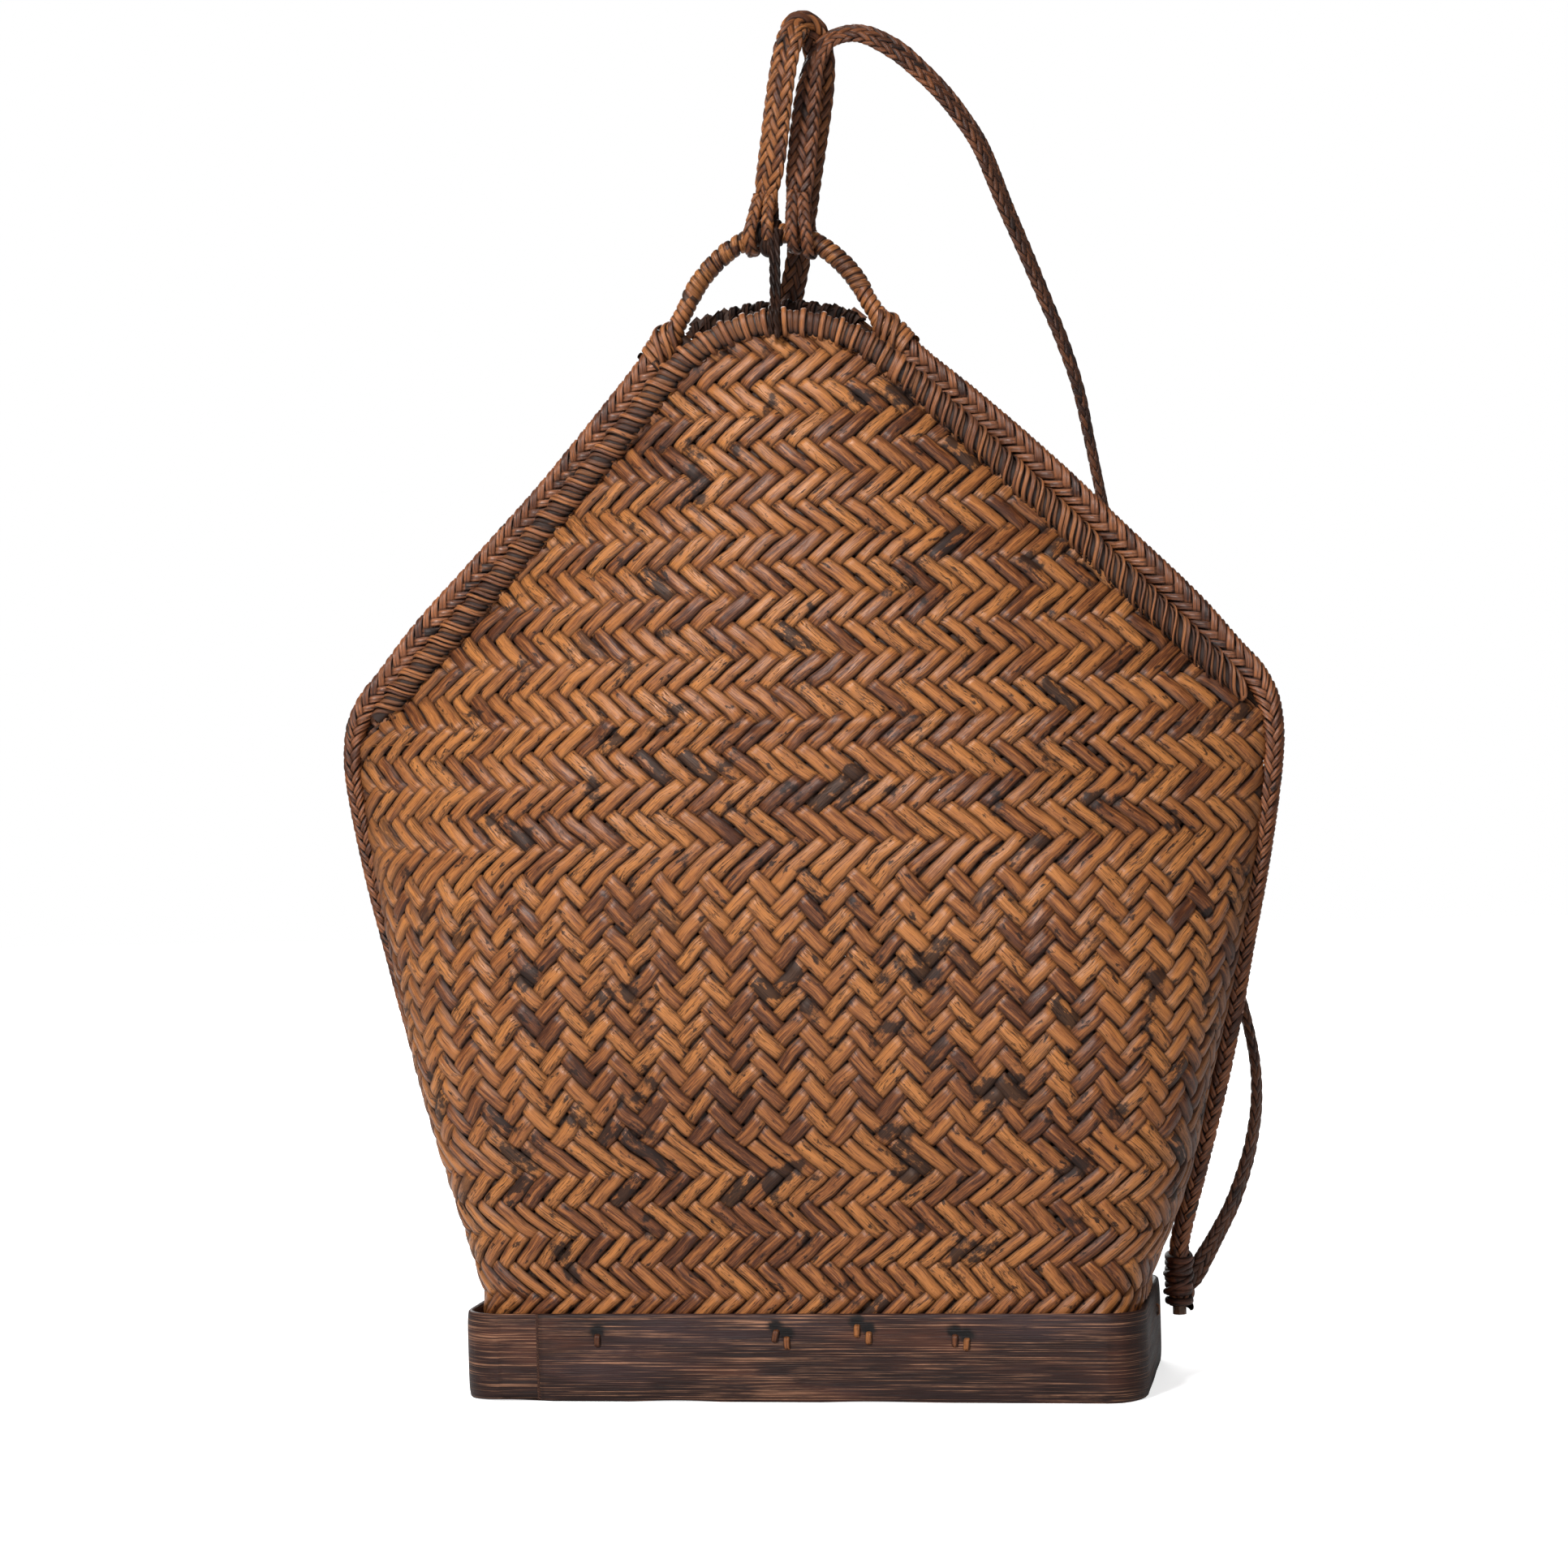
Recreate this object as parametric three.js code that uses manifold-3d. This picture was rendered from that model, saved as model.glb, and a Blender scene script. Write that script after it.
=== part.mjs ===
// Pack basket: a plaited rattan body on a bent wooden foot band, a plaited frame edge with a
// carrying arch, a wrapped front rim and two flat plaited straps. Millimetres, +Z up.
// +X is the right of the front, -Y is the front and the origin is under the middle of the floor.
import * as THREE from 'three';
import Module from 'manifold-3d';

const wasm = await Module();
wasm.setup();

// Foot band
const bandLength = 276;
const bandDepth = 110;
const bandHeight = 35;
const bandThickness = 3;
const bandCornerRadius = 16;
const bandLapLength = 44;
const bandLapTip = 0.9;
const bandLapOffset = 33;

// Woven body
const wallThickness = 3;
const shoulderHeight = 266;
const shoulderHalfWidth = 187;
const flareClear = 5;
const flarePower = 1.5;
const bellyHeight = 140;
const frontBelly = 61;
const backBelly = 43;
const mouthGapAtShoulder = 1.2;
const frontRimSetback = 14;
const backRimSetback = 8;

// Rows of the plaiting: level herringbone bands, each crowned, below and above a plainer middle
const plaitBandHeight = 12.4;
const plaitRelief = 1.2;
const plaitMiddleStartShare = 0.395;
const plaitMiddleEndShare = 0.797;
const plaitTopRow = 3.2;

// Share of the way up each peak at which its edge joins the straight slope
const slopeStartShare = 0.195;

// Peaks: apex where the two slopes would meet, and the fillet that rounds them
const slopeDegrees = 45.6;
const frontRimReach = 4.7415;
const frontRimFillet = 65;
const frontLean = -3;
const backEdgeRise = 4.4;
const backEdgeFillet = 80;
const backEdgeTopDrop = 25;
const backLean = -6.5;
const leanStartDrop = 103.4;
const leanEndDrop = 38.4;

// Front rim band
const rimWidth = 10.6;
const rimDepth = 8;
const rimEndRise = 11;
const rimEndShare = 0.6;

// Frame edge: braids, rods and the arch
const frameShoulderReach = 5.4;
const frameShoulderDrop = 4;
const frameFootReach = 8;
const frameFootInset = 17.5;
const frameFootDrop = 15;
const frameSlopeY = 2.2;
const frameRise = 14.9;
const archDrop = 3.3;
const archHalfWidth = 39.6;
const archFootDrop = 40.4;
const archY = 6;
const braidWide = 12.4;
const braidThin = 8.8;
const braidFootLift = 4;
const braidTurnBelow = 16;
const braidTurnAbove = 34;
const rodDiameter = 5.6;
const rodTuck = 26;
const archWrapWidth = 3.5;
const archWrapThickness = 1.3;
const archWrapLoops = 24;

// Cords
const topCordDiameter = 3.6;
const topCordHalfSpan = 32;
const tieCordDiameter = 2.2;
const tieCordX = -6.2;
const tieCordLoops = 2;
const tieCordDrift = 2;
const tieCordDrop = 7;

// Lashings
const archLashWidth = 2.6;
const archLashThickness = 1.4;
const archLashLoops = 5;
const cornerLashWidth = 2.7;
const cornerLashThickness = 2;
const cornerLashLoops = 6;
const cornerLashGap = 0.75;

// Straps
const strapWidth = 13.4;
const strapThickness = 5.2;
const strapTipDiameter = 6;
const strapKnotDiameter = 10;
const strapFootInset = 4.125;
const hitchWidth = 8;
const hitchThickness = 3;
const hitchLeftX = -15.2;
const hitchRightX = 3;
const hitchStretchShare = 1.35;
const hitchCrownShare = 0.33;
const hitchDrop = 1.7;

// Band stitches
const stitchLength = 8;
const stitchWidth = 2.4;
const stitchThickness = 1;
const stitchLeg = 1.6;

// Clearances
const seatGap = 0.4;
const coilGap = 0.6;
const cutOverrun = 2;

// Spacing of the rings along the frame: one for each length or each turn of the line
const stationLength = 36;
const stationTurnDegrees = 15;

// Counts of facets and rows
const wallColumns = 22;
const lowerRows = 10;
const upperRows = 8;
const plaitMiddleRows = 5;
const cornerSteps = 5;
const braidSides = 8;
const rodSides = 8;
const strapSteps = 46;
const strapSides = 8;
const coilSteps = 10;
const coilSides = 5;
const rimBends = 10;
const rimSlopeSteps = 5;
const rimSides = 10;
const topCordSteps = 16;
const topCordSides = 8;
const tieCordSteps = 60;
const tieCordSides = 6;
const tieCordBends = 5;
const collarSides = 14;
const ballColumns = 12;
const ballRows = 8;
const fineSteps = 1200;

const up = new THREE.Vector3(0, 0, 1);
const rearward = new THREE.Vector3(0, 1, 0);
const slope = THREE.MathUtils.degToRad(slopeDegrees);
const quarter = Math.PI / 2;
const mix = THREE.MathUtils.lerp;

// Heights and reaches that follow from the sizes above
const bandLapX = bandLapOffset - bandLength / 2;
const flareStart = bandHeight + flareClear;
const plaitMiddleStart = plaitMiddleStartShare * shoulderHeight;
const plaitMiddleEnd = plaitMiddleEndShare * shoulderHeight;
const frontRimApex = shoulderHeight + (shoulderHalfWidth + frontRimReach) * Math.tan(slope);
const backEdgeApex = frontRimApex + backEdgeRise;
const backEdgeTop = backEdgeApex - backEdgeTopDrop;
const rimEndHeight = shoulderHeight + rimEndRise;
const frameHalfWidth = shoulderHalfWidth + frameShoulderReach;
const frameShoulderZ = shoulderHeight - frameShoulderDrop;
const frameFootX = bandLength / 2 + frameFootReach;
const frameFootY = bandDepth / 2 - frameFootInset;
const frameFootZ = bandHeight - frameFootDrop;
const frameApex = frontRimApex + frameRise;
const archHeight = frameApex - archDrop;
const archFootHeight = archHeight - archFootDrop;
const leanStart = archHeight - leanStartDrop;
const leanEnd = archHeight - leanEndDrop;
const braidTurnLow = shoulderHeight - braidTurnBelow;
const braidTurnHigh = shoulderHeight + braidTurnAbove;

// Colour, roughness and metalness of each material
const finishes = {
  plait: [0x9a6a35, 0.55],
  braid: [0x6b4426, 0.6],
  wrap: [0x8a5a30, 0.5],
  strap: [0x75492a, 0.6],
  wood: [0x3a2620, 0.65],
  cord: [0x2a1c15, 0.7],
};

const basket = new THREE.Group();
basket.name = 'pack_basket';

function addPiece(name, geometry, finish) {
  const [color, roughness] = finishes[finish];
  const material = new THREE.MeshStandardMaterial({ color, roughness, metalness: 0 });
  material.name = finish;
  const piece = new THREE.Mesh(geometry, material);
  piece.name = name;
  basket.add(piece);
  return piece;
}

// Closed surfaces from points and triangles

function signedVolume(points, faces) {
  let volume = 0;
  for (const [a, b, c] of faces) {
    const across = new THREE.Vector3().crossVectors(points[b], points[c]);
    volume += points[a].dot(across);
  }
  return volume;
}

function closedGeometry(points, faces) {
  const outward = signedVolume(points, faces) > 0;
  const order = outward ? faces : faces.map(([a, b, c]) => [a, c, b]);
  const geometry = new THREE.BufferGeometry();
  const flat = points.flatMap((p) => [p.x, p.y, p.z]);
  geometry.setAttribute('position', new THREE.Float32BufferAttribute(flat, 3));
  geometry.setIndex(order.flat());
  geometry.computeVertexNormals();
  return geometry;
}

function bridgeRings(faces, first, second, count) {
  for (let k = 0; k < count; k += 1) {
    const next = (k + 1) % count;
    faces.push([first + k, first + next, second + next]);
    faces.push([first + k, second + next, second + k]);
  }
}

// Solid through a row of rings with flat ends
function loft(rings) {
  const count = rings[0].length;
  const points = rings.flat();
  const faces = [];
  for (let i = 0; i + 1 < rings.length; i += 1) {
    bridgeRings(faces, i * count, (i + 1) * count, count);
  }
  const last = (rings.length - 1) * count;
  for (let k = 1; k + 1 < count; k += 1) {
    faces.push([0, k + 1, k]);
    faces.push([last, last + k, last + k + 1]);
  }
  return closedGeometry(points, faces);
}

// Sleeve between a row of outer rings and a row of inner rings
function sleeve(outerRings, innerRings) {
  const count = outerRings[0].length;
  const points = [...outerRings.flat(), ...innerRings.flat()];
  const start = outerRings.length * count;
  const faces = [];
  for (let i = 0; i + 1 < outerRings.length; i += 1) {
    bridgeRings(faces, i * count, (i + 1) * count, count);
    bridgeRings(faces, start + (i + 1) * count, start + i * count, count);
  }
  const last = (outerRings.length - 1) * count;
  bridgeRings(faces, start, 0, count);
  bridgeRings(faces, last, start + last, count);
  return closedGeometry(points, faces);
}

// Ring of points round a centre, with one half size along each of two directions
function ovalRing(center, alongN, alongB, halfN, halfB, sides, turn = 0) {
  const ring = [];
  for (let k = 0; k < sides; k += 1) {
    const angle = turn + (2 * Math.PI * k) / sides;
    const point = center.clone();
    point.addScaledVector(alongN, halfN * Math.cos(angle));
    point.addScaledVector(alongB, halfB * Math.sin(angle));
    ring.push(point);
  }
  return ring;
}

// Outlines of the two peaks

function smoothShare(value) {
  const t = THREE.MathUtils.clamp(value, 0, 1);
  return t * t * (3 - 2 * t);
}

function lean(z, amount) {
  return amount * smoothShare((z - leanStart) / (leanEnd - leanStart));
}

function peakTop(apex, fillet) {
  return apex - fillet / Math.cos(slope) + fillet;
}

function peakHalfWidth(z, wall) {
  const rise = Math.min(z - wall.top + wall.fillet, wall.fillet);
  const straight = (wall.apex - z) / Math.tan(slope);
  if (rise < wall.fillet * Math.cos(slope)) {
    return straight;
  }
  return Math.min(straight, Math.sqrt(wall.fillet * wall.fillet - rise * rise));
}

// Body surface: half widths and half depths at each height

const footHalfWidth = bandLength / 2 - bandThickness - seatGap;
const footHalfDepth = bandDepth / 2 - bandThickness - seatGap;
const frontInset = rimWidth / 2 + seatGap;
const frontEdgeApex = frontRimApex - frontInset / Math.cos(slope);
const frontEdgeFillet = frontRimFillet - frontInset;
const frontEdgeTop = peakTop(frontEdgeApex, frontEdgeFillet);

function bodyHalfWidth(z) {
  const t = THREE.MathUtils.clamp((z - flareStart) / (shoulderHeight - flareStart), 0, 1);
  return mix(footHalfWidth, shoulderHalfWidth, 1 - (1 - t) ** flarePower);
}

function centreDepth(z, belly, setback, top) {
  if (z < bellyHeight) {
    const rise = Math.max(z - flareStart, 0) / (bellyHeight - flareStart);
    return mix(footHalfDepth, belly, smoothShare(rise));
  }
  const t = Math.min((z - bellyHeight) / (top - bellyHeight), 1);
  return mix(setback, belly, Math.cos(quarter * t));
}

function edgeSetback(z, setback, top) {
  const start = wallThickness + mouthGapAtShoulder / 2;
  return mix(start, setback, (z - shoulderHeight) / (top - shoulderHeight));
}

// Corners are nearly square at the foot and open to a lens at the shoulders
const footSquareness = { along: 14, across: 5 };
const shoulderSquareness = { along: 2.2, across: 1 };

function squareness(z) {
  const t = THREE.MathUtils.clamp(z / shoulderHeight, 0, 1);
  return {
    along: footSquareness.along ** (1 - t) * shoulderSquareness.along ** t,
    across: footSquareness.across ** (1 - t) * shoulderSquareness.across ** t,
  };
}

const frontWall = {
  side: -1,
  belly: frontBelly,
  setback: frontRimSetback,
  apex: frontEdgeApex,
  fillet: frontEdgeFillet,
  top: frontEdgeTop,
  lean: frontLean,
};
const backWall = {
  side: 1,
  belly: backBelly,
  setback: backRimSetback,
  apex: backEdgeApex,
  fillet: backEdgeFillet,
  top: backEdgeTop,
  lean: backLean,
};

function lowerPoint(wall, z, angle, inset) {
  const power = squareness(z);
  const across = Math.cos(angle);
  const bulge = (1 - Math.abs(across) ** power.along) ** (1 / power.across);
  const halfWidth = bodyHalfWidth(z) - inset;
  const halfDepth = centreDepth(z, wall.belly, wall.setback, wall.top) - inset;
  return new THREE.Vector3(-halfWidth * across, wall.side * halfDepth * bulge, z);
}

function upperPoint(wall, z, angle, inset) {
  const across = Math.cos(angle);
  const bulge = 1 - Math.abs(across) ** shoulderSquareness.along;
  const edge = edgeSetback(z, wall.setback, wall.top);
  const center = centreDepth(z, wall.belly, wall.setback, wall.top);
  const depth = mix(edge, Math.max(center, edge), bulge) - inset;
  const x = -sheetHalfWidth(z, wall) * across + lean(z, wall.lean);
  return new THREE.Vector3(x, wall.side * depth, z);
}

// Half width of the sheet above the shoulder ring
function sheetHalfWidth(z, wall) {
  const start = mix(shoulderHeight, wall.top, slopeStartShare);
  const t = (z - shoulderHeight) / (start - shoulderHeight);
  return t < 1 ? mix(shoulderHalfWidth, peakHalfWidth(start, wall), t) : peakHalfWidth(z, wall);
}

function columnAngle(k) {
  return (Math.PI * k) / wallColumns;
}

// Ring at one height: the front wall from left to right, then the back wall from right to left
function bodyRing(z, inset) {
  const ring = [];
  for (let k = 0; k < wallColumns; k += 1) {
    ring.push(lowerPoint(frontWall, z, columnAngle(k), inset));
  }
  for (let k = wallColumns; k > 0; k -= 1) {
    ring.push(lowerPoint(backWall, z, columnAngle(k), inset));
  }
  return ring;
}

// Rows of the smooth inner face, with how deep each lies under the outer face
function lowerRowsInside(start) {
  const rows = [{ z: start, inset: wallThickness }];
  for (let i = 0; i <= lowerRows; i += 1) {
    rows.push({ z: mix(flareStart, shoulderHeight, i / lowerRows), inset: wallThickness });
  }
  return rows;
}

// Rows above the shoulder close up towards the peak, so its round top is followed
function upperRowsInside(wall) {
  const rows = [];
  for (let i = 1; i < upperRows; i += 1) {
    const z = mix(shoulderHeight, wall.top, Math.sin((quarter * i) / upperRows));
    rows.push({ z, inset: wallThickness });
  }
  return rows;
}

// Rows of the outer face between two heights, by turns on a crown and in a groove
function crownedRows(from, to, firstInGroove, lastInGroove) {
  const odd = firstInGroove === lastInGroove ? 0 : 1;
  const halfBands = (2 * (to - from)) / plaitBandHeight;
  const count = 2 * Math.round((halfBands - odd) / 2) + odd;
  const rows = [];
  for (let i = 1; i <= count; i += 1) {
    const inGroove = firstInGroove ? i % 2 === 0 : i % 2 === 1;
    rows.push({ z: mix(from, to, i / count), inset: inGroove ? plaitRelief : 0 });
  }
  return rows;
}

function lowerRowsOutside() {
  const rows = [{ z: 0, inset: 0 }, { z: flareStart, inset: 0 }];
  rows.push(...crownedRows(flareStart, plaitMiddleStart, false, true));
  for (let i = 1; i < plaitMiddleRows; i += 1) {
    const z = mix(plaitMiddleStart, plaitMiddleEnd, i / plaitMiddleRows);
    rows.push({ z, inset: plaitRelief / 2 });
  }
  rows.push({ z: plaitMiddleEnd, inset: plaitRelief });
  rows.push(...crownedRows(plaitMiddleEnd, shoulderHeight, true, false));
  return rows;
}

function upperRowsOutside(wall) {
  return crownedRows(shoulderHeight, wall.top - plaitTopRow, false, false);
}

function wovenBody() {
  const points = [];
  const faces = [];
  const count = 2 * wallColumns;

  function addRing(ring) {
    const start = points.length;
    points.push(...ring);
    return start;
  }

  function tube(rows) {
    const rings = rows.map(({ z, inset }) => addRing(bodyRing(z, inset)));
    for (let i = 0; i + 1 < rings.length; i += 1) {
      bridgeRings(faces, rings[i], rings[i + 1], count);
    }
    const cap = points.length;
    points.push(new THREE.Vector3(0, 0, rows[0].z));
    for (let k = 0; k < count; k += 1) {
      faces.push([cap, rings[0] + ((k + 1) % count), rings[0] + k]);
    }
    return rings[rings.length - 1];
  }

  // Sheet above the shoulder ring: returns its edge from the left tip over the peak to the right
  function sheet(wall, ringStart, upper, topInset) {
    const base = [];
    for (let k = 0; k <= wallColumns; k += 1) {
      const front = ringStart + k;
      const back = ringStart + ((2 * wallColumns - k) % count);
      base.push(wall.side < 0 ? front : back);
    }
    const rows = [base];
    for (const { z, inset } of upper) {
      const row = [];
      for (let k = 0; k <= wallColumns; k += 1) {
        row.push(points.length);
        points.push(upperPoint(wall, z, columnAngle(k), inset));
      }
      rows.push(row);
    }
    for (let i = 0; i + 1 < rows.length; i += 1) {
      for (let k = 0; k < wallColumns; k += 1) {
        const [a, b, c, d] = [rows[i][k], rows[i][k + 1], rows[i + 1][k + 1], rows[i + 1][k]];
        faces.push(wall.side < 0 ? [a, b, c] : [a, c, b]);
        faces.push(wall.side < 0 ? [a, c, d] : [a, d, c]);
      }
    }
    const top = points.length;
    points.push(upperPoint(wall, wall.top, quarter, topInset));
    const last = rows[rows.length - 1];
    for (let k = 0; k < wallColumns; k += 1) {
      const edge = [last[k], last[k + 1], top];
      faces.push(wall.side < 0 ? edge : [edge[0], edge[2], edge[1]]);
    }
    const left = rows.map((row) => row[0]);
    const right = rows.map((row) => row[wallColumns]).reverse();
    return [...left, top, ...right];
  }

  // Joins an outer edge to an inner one that has other rows, going by their heights
  function joinEdges(wall, outerEdge, innerEdge) {
    const way = (edge) => {
      const middle = (edge.length - 1) / 2;
      return edge.map((k, i) => (i <= middle ? points[k].z : 2 * wall.top - points[k].z));
    };
    const outerWay = way(outerEdge);
    const innerWay = way(innerEdge);
    const [outerLast, innerLast] = [outerEdge.length - 1, innerEdge.length - 1];
    let [i, j] = [0, 0];
    while (i < outerLast || j < innerLast) {
      const outerNext = j === innerLast || (i < outerLast && outerWay[i + 1] <= innerWay[j + 1]);
      const third = outerNext ? outerEdge[i + 1] : innerEdge[j + 1];
      const face = [outerEdge[i], third, innerEdge[j]];
      faces.push(wall.side < 0 ? face : [face[0], face[2], face[1]]);
      i += outerNext ? 1 : 0;
      j += outerNext ? 0 : 1;
    }
  }

  function turnOver(from) {
    for (let i = from; i < faces.length; i += 1) {
      faces[i] = [faces[i][0], faces[i][2], faces[i][1]];
    }
  }

  const outer = tube(lowerRowsOutside());
  const outerFaces = faces.length;
  const inner = tube(lowerRowsInside(wallThickness));
  turnOver(outerFaces);
  for (const wall of [frontWall, backWall]) {
    const outerEdge = sheet(wall, outer, upperRowsOutside(wall), 0);
    const before = faces.length;
    const innerEdge = sheet(wall, inner, upperRowsInside(wall), wallThickness);
    turnOver(before);
    joinEdges(wall, outerEdge, innerEdge);
  }
  return closedGeometry(points, faces);
}

// Foot band: a strip bent round the foot, scarfed at both ends and lapped

function bandOutline() {
  const halfX = bandLength / 2;
  const halfY = bandDepth / 2;
  const r = bandCornerRadius;
  const outline = new THREE.Path();
  outline.moveTo(bandLapX + bandLapLength, -halfY);
  outline.lineTo(halfX - r, -halfY);
  outline.absarc(halfX - r, -halfY + r, r, -quarter, 0);
  outline.lineTo(halfX, halfY - r);
  outline.absarc(halfX - r, halfY - r, r, 0, quarter);
  outline.lineTo(-halfX + r, halfY);
  outline.absarc(-halfX + r, halfY - r, r, quarter, Math.PI);
  outline.lineTo(-halfX, -halfY + r);
  outline.absarc(-halfX + r, -halfY + r, r, Math.PI, 3 * quarter);
  outline.lineTo(bandLapX, -halfY);
  return outline;
}

function bandPlaces() {
  const places = [];
  for (const curve of bandOutline().curves) {
    const steps = curve.isEllipseCurve ? cornerSteps : 1;
    for (let i = 0; i < steps; i += 1) {
      places.push({ at: curve.getPoint(i / steps), along: curve.getTangent(i / steps) });
    }
  }
  return places;
}

function bandRing(at, along, outerInset, innerInset) {
  const inward = new THREE.Vector2(-along.y, along.x);
  const outer = at.clone().addScaledVector(inward, outerInset);
  const inner = at.clone().addScaledVector(inward, innerInset);
  return [
    new THREE.Vector3(outer.x, outer.y, 0),
    new THREE.Vector3(outer.x, outer.y, bandHeight),
    new THREE.Vector3(inner.x, inner.y, bandHeight),
    new THREE.Vector3(inner.x, inner.y, 0),
  ];
}

// Both ends thin out over the lap, so that the outer face stays even
function footBand() {
  const forward = new THREE.Vector2(1, 0);
  const front = -bandDepth / 2;
  const thick = bandThickness;
  const buried = bandLapTip + seatGap;
  const outerTip = new THREE.Vector2(bandLapX, front);
  const outerFull = new THREE.Vector2(bandLapX + bandLapLength, front);
  const innerFull = new THREE.Vector2(bandLapX - seatGap, front);
  const innerTip = new THREE.Vector2(bandLapX + bandLapLength - seatGap, front);
  const rings = [];
  rings.push(bandRing(outerTip, forward, 0, bandLapTip));
  rings.push(bandRing(outerFull, forward, 0, thick - buried));
  const places = bandPlaces();
  places[0].at.x += seatGap;
  for (const place of places) {
    rings.push(bandRing(place.at, place.along, 0, thick));
  }
  rings.push(bandRing(innerFull, forward, 0, thick));
  rings.push(bandRing(outerTip, forward, buried, thick));
  rings.push(bandRing(innerTip, forward, thick - bandLapTip, thick));
  return loft(rings);
}

// Stitches: each is a staple of skein with its bar on the band and its two legs through it

const stitches = [
  { name: 'band_stitch_front_1', face: 'front', alongShare: -0.5841, upShare: 0.7286 },
  { name: 'band_stitch_front_2', face: 'front', alongShare: -0.0594, upShare: 0.7829 },
  { name: 'band_stitch_front_3', face: 'front', alongShare: -0.0261, upShare: 0.7029 },
  { name: 'band_stitch_front_4', face: 'front', alongShare: 0.1783, upShare: 0.84 },
  { name: 'band_stitch_front_5', face: 'front', alongShare: 0.2116, upShare: 0.76 },
  { name: 'band_stitch_front_6', face: 'front', alongShare: 0.4594, upShare: 0.7314 },
  { name: 'band_stitch_front_7', face: 'front', alongShare: 0.4928, upShare: 0.6914 },
  { name: 'band_stitch_right', face: 'right', alongShare: 0.3273, upShare: 0.7429 },
  { name: 'band_stitch_left', face: 'left', alongShare: -0.2182, upShare: 0.7429 },
  { name: 'band_stitch_back_1', face: 'back', alongShare: -0.5217, upShare: 0.7429 },
  { name: 'band_stitch_back_2', face: 'back', alongShare: 0.0145, upShare: 0.7143 },
  { name: 'band_stitch_back_3', face: 'back', alongShare: 0.5362, upShare: 0.7429 },
];

const faceTurns = { front: 0, right: 1, back: 2, left: 3 };

// Half sizes of the band towards each side and along it
function faceHalves(face) {
  const long = face === 'front' || face === 'back';
  const halves = [bandDepth / 2, bandLength / 2];
  return long ? { out: halves[0], along: halves[1] } : { out: halves[1], along: halves[0] };
}

// Box in the stitch's own frame, turned to its side of the band
function stitchBox(stitch, wide, deep, tall, out, lift) {
  const box = new THREE.BoxGeometry(wide, deep, tall);
  const turn = faceTurns[stitch.face];
  const side = turn > 1 ? -1 : 1;
  const halves = faceHalves(stitch.face);
  const x = side * stitch.alongShare * halves.along;
  box.translate(x, -(halves.out + out), stitch.upShare * bandHeight + lift);
  box.rotateZ(turn * quarter);
  return box;
}

function toManifold(geometry) {
  const position = geometry.getAttribute('position');
  const merged = [];
  const places = new Map();
  const remap = [];
  for (let i = 0; i < position.count; i += 1) {
    const point = [position.getX(i), position.getY(i), position.getZ(i)].map(Math.fround);
    const key = point.join(' ');
    if (!places.has(key)) {
      places.set(key, merged.length / 3);
      merged.push(...point);
    }
    remap.push(places.get(key));
  }
  const index = geometry.getIndex();
  const corners = Array.from({ length: index.count }, (_, i) => remap[index.getX(i)]);
  const mesh = new wasm.Mesh({
    numProp: 3,
    vertProperties: new Float32Array(merged),
    triVerts: new Uint32Array(corners),
  });
  return new wasm.Manifold(mesh);
}

function fromManifold(solid) {
  const mesh = solid.getMesh();
  const geometry = new THREE.BufferGeometry();
  geometry.setAttribute('position', new THREE.BufferAttribute(mesh.vertProperties, 3));
  geometry.setIndex(Array.from(mesh.triVerts));
  geometry.computeVertexNormals();
  return geometry;
}

function legLift() {
  return stitchLength / 2 - stitchLeg / 2;
}

function stitchGeometry(stitch) {
  const barOut = seatGap + stitchThickness / 2;
  const legDeep = bandThickness + seatGap + stitchThickness / 2;
  const legOut = barOut - legDeep / 2;
  let solid = toManifold(stitchBox(stitch, stitchWidth, stitchThickness, stitchLength, barOut, 0));
  for (const side of [-1, 1]) {
    const leg = stitchBox(stitch, stitchWidth, legDeep, stitchLeg, legOut, side * legLift());
    solid = solid.add(toManifold(leg));
  }
  return fromManifold(solid);
}

function bandWithHoles() {
  let solid = toManifold(footBand());
  for (const stitch of stitches) {
    for (const side of [-1, 1]) {
      const wide = stitchWidth + 2 * seatGap;
      const tall = stitchLeg + 2 * seatGap;
      const deep = bandThickness + 2 * cutOverrun;
      const hole = stitchBox(stitch, wide, deep, tall, -bandThickness / 2, side * legLift());
      solid = solid.subtract(toManifold(hole));
    }
  }
  return fromManifold(solid);
}

// Frame line: from the left foot over the arch to the right foot

// Shares of the way from foot to shoulder in width, of the depth, and of the way up to the shoulder
const frameSideShares = [
  [0, 1, 0],
  [0, 1, 0.0744],
  [0.022, 0.955, 0.1252],
  [0.097, 0.877, 0.1823],
  [0.187, 0.797, 0.2406],
  [0.33, 0.64, 0.3384],
  [0.44, 0.493, 0.4174],
  [0.513, 0.395, 0.4751],
  [0.586, 0.315, 0.5371],
  [0.718, 0.213, 0.6612],
  [0.847, 0.147, 0.7768],
  [0.948, 0.093, 0.8884],
  [0.996, 0.064, 0.9587],
  [1, 0.053, 1],
];
// Above the shoulder: shares of the slope's half width, of the depth, and of the way up to the arch
const frameShoulderShares = [
  [0.9606, 0.048, 0.0591],
  [0.9823, 0.048, 0.1078],
  [0.9847, 0.053, 0.1494],
];
const frameSlopeShares = [0.2366, 0.3737, 0.5062, 0.6386, 0.7662];
const archShares = [
  [1, 0.8495],
  [0.843, 0.9035],
  [0.657, 0.9442],
  [0.455, 0.974],
  [0.227, 0.9928],
];

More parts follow.
